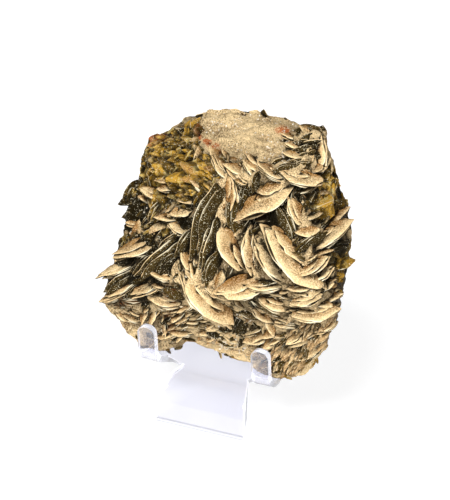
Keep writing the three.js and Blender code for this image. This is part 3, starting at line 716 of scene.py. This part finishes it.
bladeList = {  # a, h, length, width, turn, tilt, lift, coat
    "upperLeft": [
        (-22.8, 18.3, 12, 4.4, -15, 45, 1.8, 1.3), (-18.8, 20.6, 8, 3, 10, 50, 1.4, 1.3),
        (-13.5, 12.8, 10, 4.4, 18, 42, 1.4, 1.3), (-14, 7.5, 9, 5.5, -20, 35, 0.8, 0.9),
        (-31, 20, 12, 4.5, 50, -35, 0.5, 1), (-33, 16.8, 7, 3, 25, 40, 0.5, 0.3),
        (-30, 5.5, 9, 6, 80, 30, 0.8, 0.9), (-15, 33, 10, 4, -30, -30, 0.8, 0.1),
        (-22, 31, 9, 4, -35, -25, 0.5, 0.1), (-23, 25, 9, 4, 20, 35, 0.5, 0.3),
        (-9, 26, 9, 3.5, -35, 40, 0.5, 0.5), (-27, 12, 9, 3, 35, -40, 0.5, 0.3),
        (-20, 13.5, 8, 2.6, 45, 55, 0.6, 0.5), (-8.5, 31, 9, 3, -60, 40, 0.5, 0.5),
    ],
    "standing": [
        (-5.5, 12, 30, 6.5, 64, -45, 2.8, 1), (-11.8, 3.2, 14, 4.5, 52, -50, 2, 1), (-3.5, 5.5, 27, 4.4, 66, -55, 1.6, 1),
        (3, 12, 17, 5, 85, -30, 1.2, 0.7), (7, 17, 13, 5, 75, -30, 0.8, 0.5),
        (-3.8, -5, 14, 5, 60, -40, 2, 1), (2.6, 18, 12, 3, 88, 50, 1.6, 0.9), (6, 13.5, 9, 3, 62, 45, 1.8, 0.7),
    ],
    "left": [
        (-19, 0.3, 26, 3, 39, -62, 3, 1), (-17, -4.5, 13, 6, 32, -35, 1, 1),
        (-27.5, -0.2, 19, 3, 24, 56, 2.2, 1.1), (-34, -6.6, 19, 2.2, 27, 60, 1.8, 1.1),
        (-25.5, -3, 14, 2.8, 32, -50, 1.6, 1), (-33.5, -9.6, 17, 3.2, 27, -50, 1.2, 1), (-29, -12.4, 12, 2.4, 36, -50, 1, 1),
        (-33, -12.5, 18, 2.8, 38, 60, 1.4, 0.9), (-20.5, -8.6, 12, 3.4, -14, 48, 1.6, 1.2),
        (-25, -12.5, 13, 3, 30, 56, 1.6, 1), (-32, -16, 15, 3.6, 3, 48, 1.2, 1),
        (-19.5, -16.5, 13, 6, -8, 38, 1.8, 1.1), (-40, -18.5, 11, 3, 35, 50, 0.5, 0.9),
        (-34, -21.5, 10, 6, -45, 30, 0.7, 0.9), (-24, -21.5, 9, 2.6, 80, 58, 0.8, 0.8),
        (-14.5, -21.5, 10, 2.4, 42, 58, 1, 0.8), (-12, -18.5, 9, 2.4, 38, 58, 1, 0.9),
        (-28, -26.5, 9, 3.5, 10, 40, -0.5, 0.8), (-12.5, -3.5, 9, 4.5, -68, 38, 1.8, 1.1),
        (-10, -23.5, 8, 3, 15, 45, 0.8, 0.8), (-37.5, -16, 10, 3.4, 20, 50, 0.8, 1),
        (-37, -21, 9, 3.4, -30, 38, 0.6, 1), (-31, -23, 10, 3.4, -18, 40, 0.8, 0.9),
        (-30, 12.5, 10, 4, 22, -40, 0.6, 0.6), (-28.5, 8.8, 9, 2.6, 5, 50, 0.9, 0.8),
    ],
    "shields": [
        (-7.2, -16.4, 25, 8.5, -48, 30, 3.8, 1.3), (-0.5, -22, 10, 4.5, -62, 35, 1, 1.2),
        (2, 0, 19, 8.5, -62, 34, 2.8, 1.3), (7.6, -1.5, 20, 5, -84, 42, 2.2, 0.85),
        (6.5, -11.5, 21, 9.5, 20, 34, 2.6, 1.2), (14.5, -12, 15, 3.2, 10, 55, 2.2, 1.2),
        (7, -20.5, 9, 4, -30, 35, 0.8, 0.4), (-5, -27, 8, 4, 20, 30, 0, 0.6), (3, -29.5, 9, 4, -15, 30, 0, 0.5),
        (-1.5, -10, 8, 3.2, 70, 45, 2, 1.2),
    ],
    "right": [
        (15.8, -5.8, 19, 6, -44, 35, 1.6, 1.2), (20.3, -4.8, 28, 6.6, -46, 33, 3, 1.15),
        (28.5, -5.5, 12, 3.4, 35, 52, 2.4, 1.2), (30, -8.6, 11, 3, 33, 54, 2, 1.2),
        (31.5, -12.3, 10, 3, 28, 54, 1.4, 1.2), (37, -3, 10, 8, 10, 20, 0, 0.2),
        (33, 3, 20, 3.8, 28, 48, 4.6, 1.1), (35, 0.2, 13, 2.6, 27, -50, 1.6, 1), (33, 7.6, 11, 2.8, 28, 54, 1, 1.1), (36, 10.8, 11, 2.8, 28, 55, 0.8, 0.8),
        (26.4, 6.8, 8, 6, 8, 30, 1.2, 0.9), (27, 3.4, 7, 1.6, 12, -50, 1, 1), (16.5, -17.6, 12, 5.4, -15, 38, 2.9, 1.25),
        (12, -21, 9, 4.4, -40, 38, 2.6, 1.2), (14.7, -24.5, 8, 3.5, -75, 35, 2.4, 1.2),
        (26, -16.6, 12, 3.4, 14, 52, 1.6, 1.2), (28.5, -21, 17, 4.8, 7, 48, 2, 1.25),
        (33.5, -16, 10, 2.6, 14, 55, 1, 1.2), (11.5, -29.4, 11, 3.8, 18, 40, 0.8, 1.1),
        (18, -31, 9, 2.6, 22, 48, 0.7, 1), (27, -27.5, 15, 3.4, 38, 40, 0.6, 0.7),
        (29, -33.5, 12, 2.8, 41, 35, 0.2, 0.5), (21, -36.5, 12, 2.8, 40, 35, 0.2, 0.5),
        (20.5, -24.5, 10, 3, 5, 50, 1, 1.1), (33, -25, 9, 2.6, 30, 45, 0.4, 0.8),
        (24.5, -12.5, 9, 2.6, 5, 55, 1.4, 1.2), (16, -27.5, 9, 2.8, 30, 45, 0.8, 1),
    ],
    # dark-faced plates put where the gaps between blades lie in shadow: painted shade
    "gaps": [
        (25.7, 32.3, 8.5, 2.6, 8, -48, 1, 1), (24.8, 35, 7, 1.4, 5, -52, 1, 1), (23.3, 28.6, 6.5, 1.6, 4, -50, 1, 1),
        (19.3, 25.8, 10, 3.4, 18, -45, 1.2, 1), (26.5, 38, 8, 3, -12, -40, 0.5, 0.3), (14.3, 10.8, 9, 4, 24, -50, 0.8, 1),
        (5.4, -23.6, 10, 3.6, 58, -45, 1.2, 0.6), (17, -7.5, 6, 1.6, 35, -50, 1.4, 1), (-26, -14, 9, 2.4, 40, -50, 1, 0.8),
        (10.6, 22, 8, 3.4, 70, -40, 1.2, 0.6),
    ],
    "upperRight": [
        (24.5, 22.6, 15, 5.5, -13, 40, 2.2, 1.3), (30.5, 29, 17, 4.6, 74, 36, 1.4, 1.3),
        (15.5, 24, 13, 3, -26, 56, 1.4, 1.2), (15.6, 15.4, 25, 5, 37, 42, 3.6, 1.2),
        (14.5, 20.4, 9, 6, 20, 28, 1.6, 0.9), (15, 10.2, 10, 2.6, 18, 52, 2, 1.1),
        (20, 7, 19, 3.6, -78, -52, 2, 1), (22.6, 11.8, 12, 4.6, -62, 38, 2, 1.3),
        (35.5, 13.5, 11, 5, 30, -30, 0.5, 0.2), (23.5, 33.3, 9, 2.4, -8, 55, 0.8, 1.2),
        (23.5, 29.8, 10, 2.6, -8, 55, 0.8, 1.2), (22, 36.5, 8, 2.2, -10, 55, 0.8, 1),
        (-1, 25, 13, 2.6, -50, 55, 0.8, 1), (4.5, 25.3, 11, 2.8, -20, 52, 0.8, 1.2),
        (28, 38.2, 9, 4, -25, 30, 0.4, 0.5), (34.5, 20.5, 8, 4, 65, 30, 0, 0.3), (9.5, 26.5, 9, 2.6, -28, 50, 0.6, 1.2),
    ],
}
plates = {
    "large": {"rim": 40, "insets": (0.015, 0.05, 0.1, 0.13)},
    "middling": {"rim": 24, "insets": (0.02, 0.09)},
    "small": {"rim": 14, "insets": (0.03, 0.1)},
    "rooted": 1.1, "freeEdge": 0.47, "widened": 1.75, "flat": 0.9, "stretch": 1.05,
}


def makePlate(rim, insets):
    deselectAll()
    bpy.ops.mesh.primitive_circle_add(vertices=rim, radius=0.5, fill_type="NGON")
    plate = bpy.context.object
    bpy.ops.object.mode_set(mode="EDIT")
    bpy.ops.mesh.select_mode(type="FACE")
    bpy.ops.mesh.select_all(action="SELECT")
    for inset in insets:
        bpy.ops.mesh.inset(thickness=inset)
    bpy.ops.mesh.poke()
    bpy.ops.object.mode_set(mode="OBJECT")
    thick = plate.modifiers.new("thick", "SOLIDIFY")
    thick.thickness = 1
    thick.offset = 0
    applyAll(plate)
    x, y, z = readCoords(plate).T
    reach, angle = 2 * np.hypot(x, y), np.arctan2(y, x)
    slope = np.clip((1 - reach) / (1 - plates["flat"]), 0, 1) ** 0.7
    z = np.where(z > 0, 0.14 + 0.36 * slope, 0.02 - 0.52 * slope)
    bow = np.abs(np.sin(angle))
    writeCoords(plate, np.stack((0.5 * reach * np.cos(angle), 0.5 * reach * np.sin(angle) * bow, z), axis=1))
    return plate


def plateAxes(turn, tilt):
    turn, tilt = math.radians(turn), math.radians(tilt)
    along = acrossWay * math.cos(turn) + upWay * math.sin(turn)
    normal = outWay * math.cos(tilt) + np.cross(outWay, along) * math.sin(tilt)
    return along, np.cross(normal, along), normal


def layPlate(plate, centre, axes, size, freeSide, cover, tone, under):
    length, width, thickness = size
    along, wide, normal = axes
    piece = plate.copy()
    piece.data = plate.data.copy()
    bpy.context.collection.objects.link(piece)
    x, y, z = readCoords(piece).T
    reach, angle = np.clip(2 * np.hypot(x, y), 0, 1), np.arctan2(y, x)
    swell = np.ones_like(x)
    for waves, most in ((2, 0.035), (3, 0.04), (5, 0.028), (9, 0.02)):
        swell += dice.uniform(0.3, 1) * most * np.sin(waves * angle + dice.uniform(0, 6.28)) * reach
    for chip in range(dice.randint(2, 5)):
        gap = np.abs((angle - dice.uniform(-3.14, 3.14) + math.pi) % (2 * math.pi) - math.pi)
        swell -= dice.uniform(0.06, 0.22) * np.clip(1.4 - gap / dice.uniform(0.1, 0.4), 0, 1) * reach
    swell += np.array([dice.gauss(0, 0.014) for vertex in x]) * (reach > 0.9)
    x, y = x * swell, y * swell
    for end in (0, math.pi):  # broken tips
        if dice.random() < 0.4:
            way = end + dice.uniform(-0.9, 0.9)
            past = np.maximum(x * math.cos(way) + y * math.sin(way) - dice.uniform(0.36, 0.46), 0) * 0.92
            x, y = x - past * math.cos(way), y - past * math.sin(way)
    bulge = dice.uniform(-0.07, 0.1) * x * x + dice.uniform(-0.14, 0.14) * x * y + dice.uniform(-0.08, 0.03) * y * y
    ripple = 0.012 * np.sin(x * dice.uniform(8, 14) + dice.uniform(0, 6)) * np.cos(y * 7)
    lift = z * thickness + (bulge + ripple) * length
    places = centre + (x * length)[:, None] * along + (y * width)[:, None] * wide
    places = places + lift[:, None] * normal
    coords = clearOfEasel(places * mm + np.array(easelShift))
    writeCoords(piece, coords)
    coat, pale, amber, rust = cover
    upper = z > 0.05
    free = np.clip(0.5 + freeSide * y * 2.2, 0, 1)
    band = np.clip((reach - 0.55) / 0.3, 0, 1) * free
    root = np.clip(0.35 - freeSide * y * 2.6, 0, 1)
    # the coated face is barer and browner towards the root and paler along the free edge; rim is a painted highlight
    # along the edge, strongest on the free side
    paintCover(piece, np.where(upper, coat * (1 - 0.45 * root), under), 0.6 * pale * (1 - root) + 0.85 * band, np.where(upper, amber, amber + 0.15),
               rust, tone + 0.5 * root, min(1, 0.35 + length / 20) * np.clip((reach - 0.88) * 9, 0, 1) * np.where(upper, 1, 0.6) * (0.3 + 0.7 * free))
    return piece


def layBlade(plate, lower, a, h, length, width, turn, tilt, lift, cover, layers, sunk=1.0):
    axes = plateAxes(turn, tilt)
    along, wide, normal = axes
    side = math.copysign(1, tilt)
    shown = width / math.cos(math.radians(tilt))
    trueWidth = min(shown * plates["widened"], 0.5 * length)
    height = max(3, matrixHeight(a, h) + lift - plates["rooted"] * sunk)
    centre = spot(a, h, height) + wide * side * (0.5 * trueWidth - plates["freeEdge"] * shown)
    total = (0.7 + 0.085 * length) * (1 if layers > 1 else 0.75)
    thick = total / layers
    tone = dice.uniform(-0.35, 0.35)
    laid = []
    for layer in range(layers):
        down = total / 2 - thick * (layer + 0.5)
        slide = 0 if layer == 0 else dice.uniform(-0.9, 0.35)
        scale = 1 if layer == 0 else dice.uniform(0.88, 1.0)
        place = centre + normal * side * down + wide * side * -slide + along * (dice.uniform(-0.6, 0.6) * layer)
        faceAxes = (along, wide, normal) if side > 0 else (along, wide, -normal)
        laid.append(layPlate(plate if layer == 0 else lower, place, faceAxes,
                             (length * scale, trueWidth * scale, thick * 1.08), -side,
                             cover if layer == 0 else (cover[0] * 0.7, cover[1], cover[2], cover[3]),
                             tone + dice.uniform(-0.15, 0.15), 0.0 if side > 0 else dice.uniform(0, 0.12)))
    for step in range(dice.randint(1, 2) if layers > 2 else 0):  # broken layers left on the coated face
        scale = dice.uniform(0.45, 0.75)
        place = centre + normal * side * (total / 2 + 0.1 + 0.25 * step) + wide * side * trueWidth * 0.05
        place = place + along * length * dice.uniform(-0.2, 0.2)
        laid.append(layPlate(lower, place, faceAxes, (length * scale, trueWidth * scale * 0.8, 0.5), -side,
                             cover, tone + dice.uniform(-0.3, 0.3), 0.0))
    return laid


def insideOutline(a, h, margin):
    reach = np.hypot(a, h - 3)
    edge = outline[:, :2] - np.array((0, 3))
    angles = np.arctan2(edge[:, 1], edge[:, 0])
    order = np.argsort(angles)
    limit = np.interp(math.atan2(h - 3, a), angles[order], np.hypot(*edge.T)[order], period=2 * math.pi)
    return reach < limit - margin


def onSand(a, h):
    return -9 < a < 25 and h > 28.5 + 0.1 * abs(a - 6)


def onBlade(a, h, share):  # within that share of one of the listed blades
    turn = np.radians(bladeRows[:, 4])
    across, up = a - bladeRows[:, 0], h - bladeRows[:, 1]
    along = across * np.cos(turn) + up * np.sin(turn)
    off = up * np.cos(turn) - across * np.sin(turn)
    return bool(((2 * along / bladeRows[:, 2]) ** 2 + (2 * off / bladeRows[:, 3]) ** 2 < share).any())


def neighbour(a, h):
    return bladeRows[np.argmin((bladeRows[:, 0] - a) ** 2 + (bladeRows[:, 1] - h) ** 2)]


bladeRows = np.array([blade for blades in bladeList.values() for blade in blades], dtype=np.float64)
between = {"seeds": 150, "length": (7, 13), "apart": 2.8}


def makeBetween():  # middling blades in the gaps, leaning as their neighbours do
    plate = makePlate(**plates["middling"])
    laid, spots = [], []
    for attempt in range(6000):
        a, h = dice.uniform(-41, 41), dice.uniform(-43, 47)
        coat, pale, amber, rust = (float(value) for value in coverAt(a, h))
        if not insideOutline(a, h, 2.5) or onSand(a, h) or onBlade(a, h, 0.8) or (amber > 0.45 and dice.random() < 0.85):
            continue
        if any((a - x) ** 2 + (h - y) ** 2 < between["apart"] ** 2 for x, y in spots):
            continue
        spots.append((a, h))
        near = neighbour(a, h)
        length = dice.uniform(*between["length"])
        reachA, reachH = length / 2 * math.cos(math.radians(near[4])), length / 2 * math.sin(math.radians(near[4]))
        if not all(insideOutline(a + end * reachA, h + end * reachH, 0.3) for end in (-1, 1)):
            continue
        cover = (near[7] * 0.4 + dice.uniform(-0.2, 0.85), pale, amber * 0.6, rust)
        under = -1 if near[5] > 0 and a < -8 and -16 < h < 20 and dice.random() < 0.65 else 1  # dark side out
        laid += layBlade(plate, plate, a, h, length, length * dice.uniform(0.14, 0.26), near[4] + dice.gauss(0, 14),
                         under * (near[5] + dice.gauss(0, 8)), dice.uniform(-0.3, 1.2), cover, 2)
        if len(spots) >= between["seeds"]:
            break
    bpy.data.objects.remove(plate)
    return laid


def makeBlades():
    plate, lower = makePlate(**plates["large"]), makePlate(**plates["middling"])
    laid = []
    for group, blades in bladeList.items():
        for a, h, length, width, turn, tilt, lift, coat in blades:
            zoneCoat, pale, amber, rust = (float(value) for value in coverAt(a, h))
            cover = (coat, pale + 0.1, amber * (0.55 if coat < 0.6 else 0.3), rust)
            layers = 1 + (length >= 8) + (tilt > 0) * ((length >= 12) + (length >= 20))
            length *= plates["stretch"]
            laid += layBlade(plate, lower, a, h, length, width, turn, tilt, lift, cover, layers)
    bpy.data.objects.remove(plate)
    bpy.data.objects.remove(lower)
    return laid


roomBox = (np.array(cadBox[0]) - 0.0012, np.array(cadBox[1]) + 0.0012)


def finishCrystals(parts, name, material):
    kept = []
    for part in parts:
        coords = readCoords(part)
        if (coords.min(0) < roomBox[0]).any() or (coords.max(0) > roomBox[1]).any():
            bpy.data.objects.remove(part)
        else:
            kept.append(part)
    print(name, "strays dropped", len(parts) - len(kept))
    whole = joinAs(kept, name)
    bpy.ops.object.mode_set(mode="EDIT")
    bpy.ops.mesh.select_all(action="SELECT")
    bpy.ops.mesh.normals_make_consistent(inside=False)
    bpy.ops.object.mode_set(mode="OBJECT")
    whole.matrix_world = Matrix.Identity(4)
    bpy.ops.object.shade_smooth_by_angle(angle=math.radians(32))
    dress(whole, material)
    return whole


bladePiece = finishCrystals(makeBlades(), "siderite_blades", siderite)
betweenPiece = finishCrystals(makeBetween(), "siderite_between", siderite)
print("blades made", len(bladePiece.data.polygons), len(betweenPiece.data.polygons))


# ---- bladelets: small plates seeded between the blades and round the flanks

bladelets = {"seeds": 380, "flankSeeds": 260, "length": (2.6, 6.5)}

def makeBladelets():
    plate = makePlate(**plates["small"])
    laid = []
    while len(laid) < bladelets["seeds"]:
        a, h = dice.uniform(-41, 41), dice.uniform(-43, 47)
        coat, pale, amber, rust = (float(value) for value in coverAt(a, h))
        if not insideOutline(a, h, 1.5) or onSand(a, h) or onBlade(a, h, 0.9) or (amber > 0.55 and dice.random() < 0.7):
            continue
        near = neighbour(a, h)
        length = dice.uniform(*bladelets["length"])
        width = length * dice.uniform(0.22, 0.42)
        turn, tilt = near[4] + dice.gauss(0, 18), near[5] + dice.gauss(0, 12)
        if a < -8 and -16 < h < 20 and dice.random() < 0.5:
            tilt = -abs(tilt)
        reachA, reachH = length / 2 * math.cos(math.radians(turn)), length / 2 * math.sin(math.radians(turn))
        if not all(insideOutline(a + end * reachA, h + end * reachH, 0) for end in (-1, 1)):
            continue
        cover = (coat * 0.5 + dice.uniform(-0.1, 0.6), pale, amber, rust)
        laid += layBlade(plate, plate, a, h, length, width, turn, tilt, dice.uniform(-0.2, 0.9), cover, 1, 0.6)
    polygons = matrix.data.polygons
    count = len(laid)
    while len(laid) < count + bladelets["flankSeeds"]:
        polygon = polygons[dice.randrange(len(polygons))]
        normal = np.array(polygon.normal)
        centre = (np.array(polygon.center) - np.array(easelShift)) / mm
        a, h, m = seen(centre)
        if normal @ outWay > 0.3 or normal @ panelWay < -0.8 or (m > 3 and insideOutline(a, h, 2)):
            continue
        along = np.cross(normal, (dice.gauss(0, 1), dice.gauss(0, 1), dice.gauss(0, 1)))
        along /= np.linalg.norm(along)
        lean = math.radians(dice.uniform(4, 24))
        facing = normal * math.cos(lean) + np.cross(normal, along) * math.sin(lean)
        length = dice.uniform(3, 7)
        coat, pale, amber, rust = (float(value) for value in coverAt(a, h))
        laid.append(layPlate(plate, centre - normal * 0.7, (along, np.cross(facing, along), facing),
                             (length, length * dice.uniform(0.35, 0.6), 0.5 + 0.05 * length), 1,
                             (coat + 0.2, pale, amber, rust), dice.uniform(-0.3, 0.3), 0.0))
    bpy.data.objects.remove(plate)
    return laid


bladeletPiece = finishCrystals(makeBladelets(), "siderite_bladelets", siderite)
print("bladelets made", len(bladeletPiece.data.polygons))


# ---- chips: cleaved rhombs in the broken areas, lined up within each

chips = {
    "areas": [  # a, h, radius, count, size, then turn, tilt and lean of its rhombs, stretch
        (-18, 31, 9, 170, 2.3, -30, 22, 15, 2.2), (-26, 24, 5, 60, 2.2, 60, 30, 10, 1.6),
        (-12, 41, 7, 70, 1.8, 30, 25, 20, 1.8), (-13, 22, 6, 90, 1.8, -35, 25, 10, 2.4),
        (31, 14, 5, 80, 2.4, 60, 30, 30, 1.5), (37, 20, 5, 60, 2.2, 70, 20, 40, 1.4),
        (38, -2, 5, 50, 2.2, 15, 10, 45, 1.3), (38, -12, 5, 50, 1.8, 15, 20, 40, 1.5),
        (27, -33, 9, 220, 1.5, 41, 30, 5, 4.2), (20, -38, 6, 70, 1.4, 41, 30, 5, 3.8),
        (-20, 8, 9, 70, 1.5, 40, 40, 0, 2.2),
        (0, -30, 8, 40, 1.6, 0, 30, 0, 1.2), (-16, -27, 6, 30, 1.6, 30, 20, 0, 1.2),
        (5, -24, 4, 30, 1.5, 50, 20, 0, 1.0), (3, 14, 5, 26, 1.5, 70, -20, 0, 1.2),
        (-3.5, 28, 3.5, 70, 1.5, -40, 25, 10, 2), (-34.5, 1, 4, 44, 1.8, 40, 10, -30, 1.4), (-33, 19, 4, 40, 1.6, 45, 20, 10, 1.8),
    ],
}


def makeChip():
    deselectAll()
    bpy.ops.mesh.primitive_cube_add(size=1)
    chip = bpy.context.object
    bpy.ops.object.mode_set(mode="EDIT")
    bpy.ops.mesh.select_all(action="SELECT")
    bpy.ops.mesh.inset(thickness=0.1, depth=0.06, use_individual=True)
    bpy.ops.object.mode_set(mode="OBJECT")
    x, y, z = readCoords(chip).T
    paint(chip, "edge", (np.abs(np.stack((x, y, z))).max(0) < 0.53) * 1.0)
    writeCoords(chip, np.stack((x + 0.3 * y + 0.2 * z, y + 0.18 * z, 0.62 * z), axis=1))
    return chip


def makeChips():
    chip = makeChip()
    laid = []
    for a0, h0, radius, count, size, turn, tilt, lean, stretch in chips["areas"]:
        spread = 6 if stretch > 3 else 17
        for number in range(count):
            a, h = dice.gauss(a0, radius * 0.55), dice.gauss(h0, radius * 0.55)
            scale = size * dice.uniform(0.35, 1.0) * (1.9 if stretch < 3 and dice.random() < 0.14 else 1)
            if not insideOutline(a, h, 0.8 + 0.75 * scale * stretch ** 0.5) or onSand(a, h):
                continue
            along, wide, normal = plateAxes(turn + dice.gauss(0, spread), tilt + dice.gauss(0, spread))
            tipped = math.radians(lean + dice.gauss(0, 7))
            along = along * math.cos(tipped) - normal * math.sin(tipped)
            normal = np.cross(along, wide)
            height = max(1.5, float(matrixHeight(a, h)) + dice.uniform(-0.5, 0.4))
            piece = chip.copy()
            piece.data = chip.data.copy()
            bpy.context.collection.objects.link(piece)
            x, y, z = (readCoords(piece) * scale * np.array((stretch, 1, 1.1))).T
            places = spot(a, h, height) + x[:, None] * along + y[:, None] * wide + z[:, None] * normal
            writeCoords(piece, clearOfEasel(places * mm + np.array(easelShift)))
            coat, pale, amber, rust = (float(value) for value in coverAt(a, h))
            # the chip's edges take the rim: painted highlight
            paintCover(piece, coat * 0.6 + dice.uniform(-0.35, 0.35), pale, amber, rust,
                       dice.uniform(-0.4, 0.9) + 0.15 * (a > 25), readPaint(piece, "edge") * dice.uniform(0, 0.75))
            laid.append(piece)
    bpy.data.objects.remove(chip)
    return laid


chipPiece = finishCrystals(makeChips(), "cleaved_chips", siderite)
print("chips made", len(chipPiece.data.polygons))


# ---- quartz: tiny six-sided points in druses on the sandy top and in the hollows

druse = {
    "areas": [  # a, h, radius, count, size
        (6, 37, 9, 300, 0.42), (16, 40, 7, 200, 0.42), (-3, 43, 5, 160, 0.55), (18, 32, 6, 120, 0.5),
        (0, -30, 6, 200, 0.65), (8, -31, 5, 90, 0.55), (-16, -28, 6, 110, 0.55), (5, -24, 3.5, 110, 0.6),
        (3, 11, 4, 80, 0.6), (8, 3, 6, 60, 0.5), (-28, 8, 6, 60, 0.5), (25, -12, 7, 60, 0.5),
        (0, 0, 24, 220, 0.5),
    ],
}


def makePoint():
    deselectAll()
    bpy.ops.mesh.primitive_circle_add(vertices=6, radius=0.5, fill_type="NGON")
    point = bpy.context.object
    bpy.ops.object.mode_set(mode="EDIT")
    bpy.ops.mesh.select_mode(type="FACE")
    bpy.ops.mesh.select_all(action="SELECT")
    bpy.ops.mesh.extrude_region_move(TRANSFORM_OT_translate={"value": (0, 0, 0.8)})
    bpy.ops.mesh.poke(offset=0.55)
    bpy.ops.mesh.select_all(action="SELECT")
    bpy.ops.mesh.normals_make_consistent(inside=False)
    bpy.ops.object.mode_set(mode="OBJECT")
    return point


def makeDruse():
    point = makePoint()
    laid = []
    for a0, h0, radius, count, size in druse["areas"]:
        for number in range(count):
            a, h = dice.gauss(a0, radius * 0.5), dice.gauss(h0, radius * 0.5)
            if not insideOutline(a, h, 1.2):
                continue
            height = float(matrixHeight(a, h))
            slopeA = float(matrixHeight(a + 0.5, h)) - height
            slopeH = float(matrixHeight(a, h + 0.5)) - height
            upright = outWay - 2 * slopeA * acrossWay - 2 * slopeH * upWay
            upright = upright / np.linalg.norm(upright)
            upright = upright + np.array([dice.gauss(0, 0.35) for axis in range(3)])
            upright /= np.linalg.norm(upright)
            sideways = np.cross(upright, (dice.gauss(0, 1), dice.gauss(0, 1), dice.gauss(0, 1)))
            sideways /= np.linalg.norm(sideways)
            scale = size * dice.uniform(0.6, 1.5)
            piece = point.copy()
            piece.data = point.data.copy()
            bpy.context.collection.objects.link(piece)
            x, y, z = (readCoords(piece) * scale).T
            places = spot(a, h, height - 0.45) + x[:, None] * sideways
            places = places + y[:, None] * np.cross(upright, sideways) + z[:, None] * upright
            writeCoords(piece, places * mm + np.array(easelShift))
            laid.append(piece)
    bpy.data.objects.remove(point)
    return laid


drusePiece = finishCrystals(makeDruse(), "quartz_druse", quartz)
print("quartz made", len(drusePiece.data.polygons))


# ---- the stone is cut clear of the easel

activate(matrix)
cut = matrix.modifiers.new("seat", "BOOLEAN")
cut.operation = "DIFFERENCE"
cut.object = room
cut.solver = "EXACT"
applyAll(matrix)
bpy.data.objects.remove(room)
bpy.ops.object.shade_smooth_by_angle(angle=math.radians(50))
print("seat cut", len(matrix.data.polygons))


# ---- shade: how much the stone shelters each point from the open side

sky = [Vector(outWay * 0.75 + across * acrossWay + up * upWay).normalized()
       for across, up in ((0, 0), (0.7, 0.3), (-0.7, 0.3), (0, 0.9), (0.4, -0.5), (-0.4, -0.5), (0, 1.6))]
shelter = {"reach": 0.011, "start": 0.00018}


def makeShade(pieces):
    points, faces = [], []
    for piece in pieces:
        first = len(points)
        points += [vertex.co for vertex in piece.data.vertices]
        faces += [[first + corner for corner in polygon.vertices] for polygon in piece.data.polygons]
    stone = BVHTree.FromPolygons(points, faces)
    for piece in pieces:
        shade = []
        for vertex in piece.data.vertices:
            start = vertex.co + vertex.normal * shelter["start"]
            hits = sum(stone.ray_cast(start, way, shelter["reach"])[0] is not None for way in sky)
            shade.append(hits / len(sky))
        behind = np.clip(1.5 - seen((readCoords(piece) - np.array(easelShift)) / mm)[2], 0, 1)
        # painted shade is weaker toward the bottom edge
        lower = np.interp(seen((readCoords(piece) - np.array(easelShift)) / mm)[1], (-35, -8), (0.5, 1))
        paint(piece, "shade", np.array(shade) * lower * (1 - behind) + 0.15 * behind)


makeShade((matrix, bladePiece, betweenPiece, bladeletPiece, chipPiece))
print("shade painted")

for piece in (matrix, bladePiece, betweenPiece, bladeletPiece, chipPiece, drusePiece):
    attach(piece, "root")
    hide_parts("siderite_specimen")
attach(easelPiece, "root")
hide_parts("acrylic_stand")
print("pieces placed")


# ---- floor, light and camera

def floorFinish():
    f = Finish("paper")
    place = f.node("ShaderNodeTexCoord", out=3)
    fibre = f.noise(place, 60, 4, 0.6)
    f.set(Base_Color=f.mix(fibre, rgb(156, 156, 156), rgb(150, 150, 152)), Roughness=0.7 + fibre * 0.1)
    f.set(Emission_Color=(1, 1, 1, 1), Emission_Strength=0.79)
    return f.material


deselectAll()
bpy.ops.mesh.primitive_plane_add(size=8)
floor = bpy.context.object
floor.name = "floor"
bpy.ops.object.mode_set(mode="EDIT")
bpy.ops.mesh.subdivide(number_cuts=8)
bpy.ops.object.mode_set(mode="OBJECT")
dress(floor, floorFinish())

middle = Vector(faceMiddle * mm) + easelShift


def softbox(name, place, size, power, colour=(1, 1, 1)):
    bpy.ops.object.light_add(type="AREA", location=place)
    lamp = bpy.context.object
    lamp.name = name
    lamp.data.shape = "RECTANGLE"
    lamp.data.size, lamp.data.size_y = size
    lamp.data.energy = power
    lamp.data.color = colour
    lamp.rotation_euler = (middle - Vector(place)).to_track_quat("-Z", "Y").to_euler()
    return lamp


bpy.ops.object.light_add(type="SUN", location=(-0.3, -0.4, 0.9))
key = bpy.context.object
key.data.energy = 3.1
key.data.angle = math.radians(22)
key.rotation_euler = (middle - Vector((0.0, -0.6, 0.74))).to_track_quat("-Z", "Y").to_euler()
softbox("front", (0.3, -0.75, 0.06), (0.5, 0.3), 7)

world = bpy.data.worlds.new("studio")
bpy.context.scene.world = world
world.use_nodes = True
world.node_tree.nodes["Background"].inputs[0].default_value = (1, 1, 1, 1)
world.node_tree.nodes["Background"].inputs[1].default_value = 0.38

eye = bpy.data.objects.new("camera", bpy.data.cameras.new("camera"))
bpy.context.collection.objects.link(eye)
bpy.context.scene.camera = eye
eye.data.sensor_width = 36
eye.data.lens = 36 * 700 / 166.7
eye.location = middle + Vector(outWay) * 0.7
eye.rotation_euler = Matrix((acrossWay, upWay, outWay)).transposed().to_euler()
bpy.context.scene.view_settings.view_transform = "Standard"
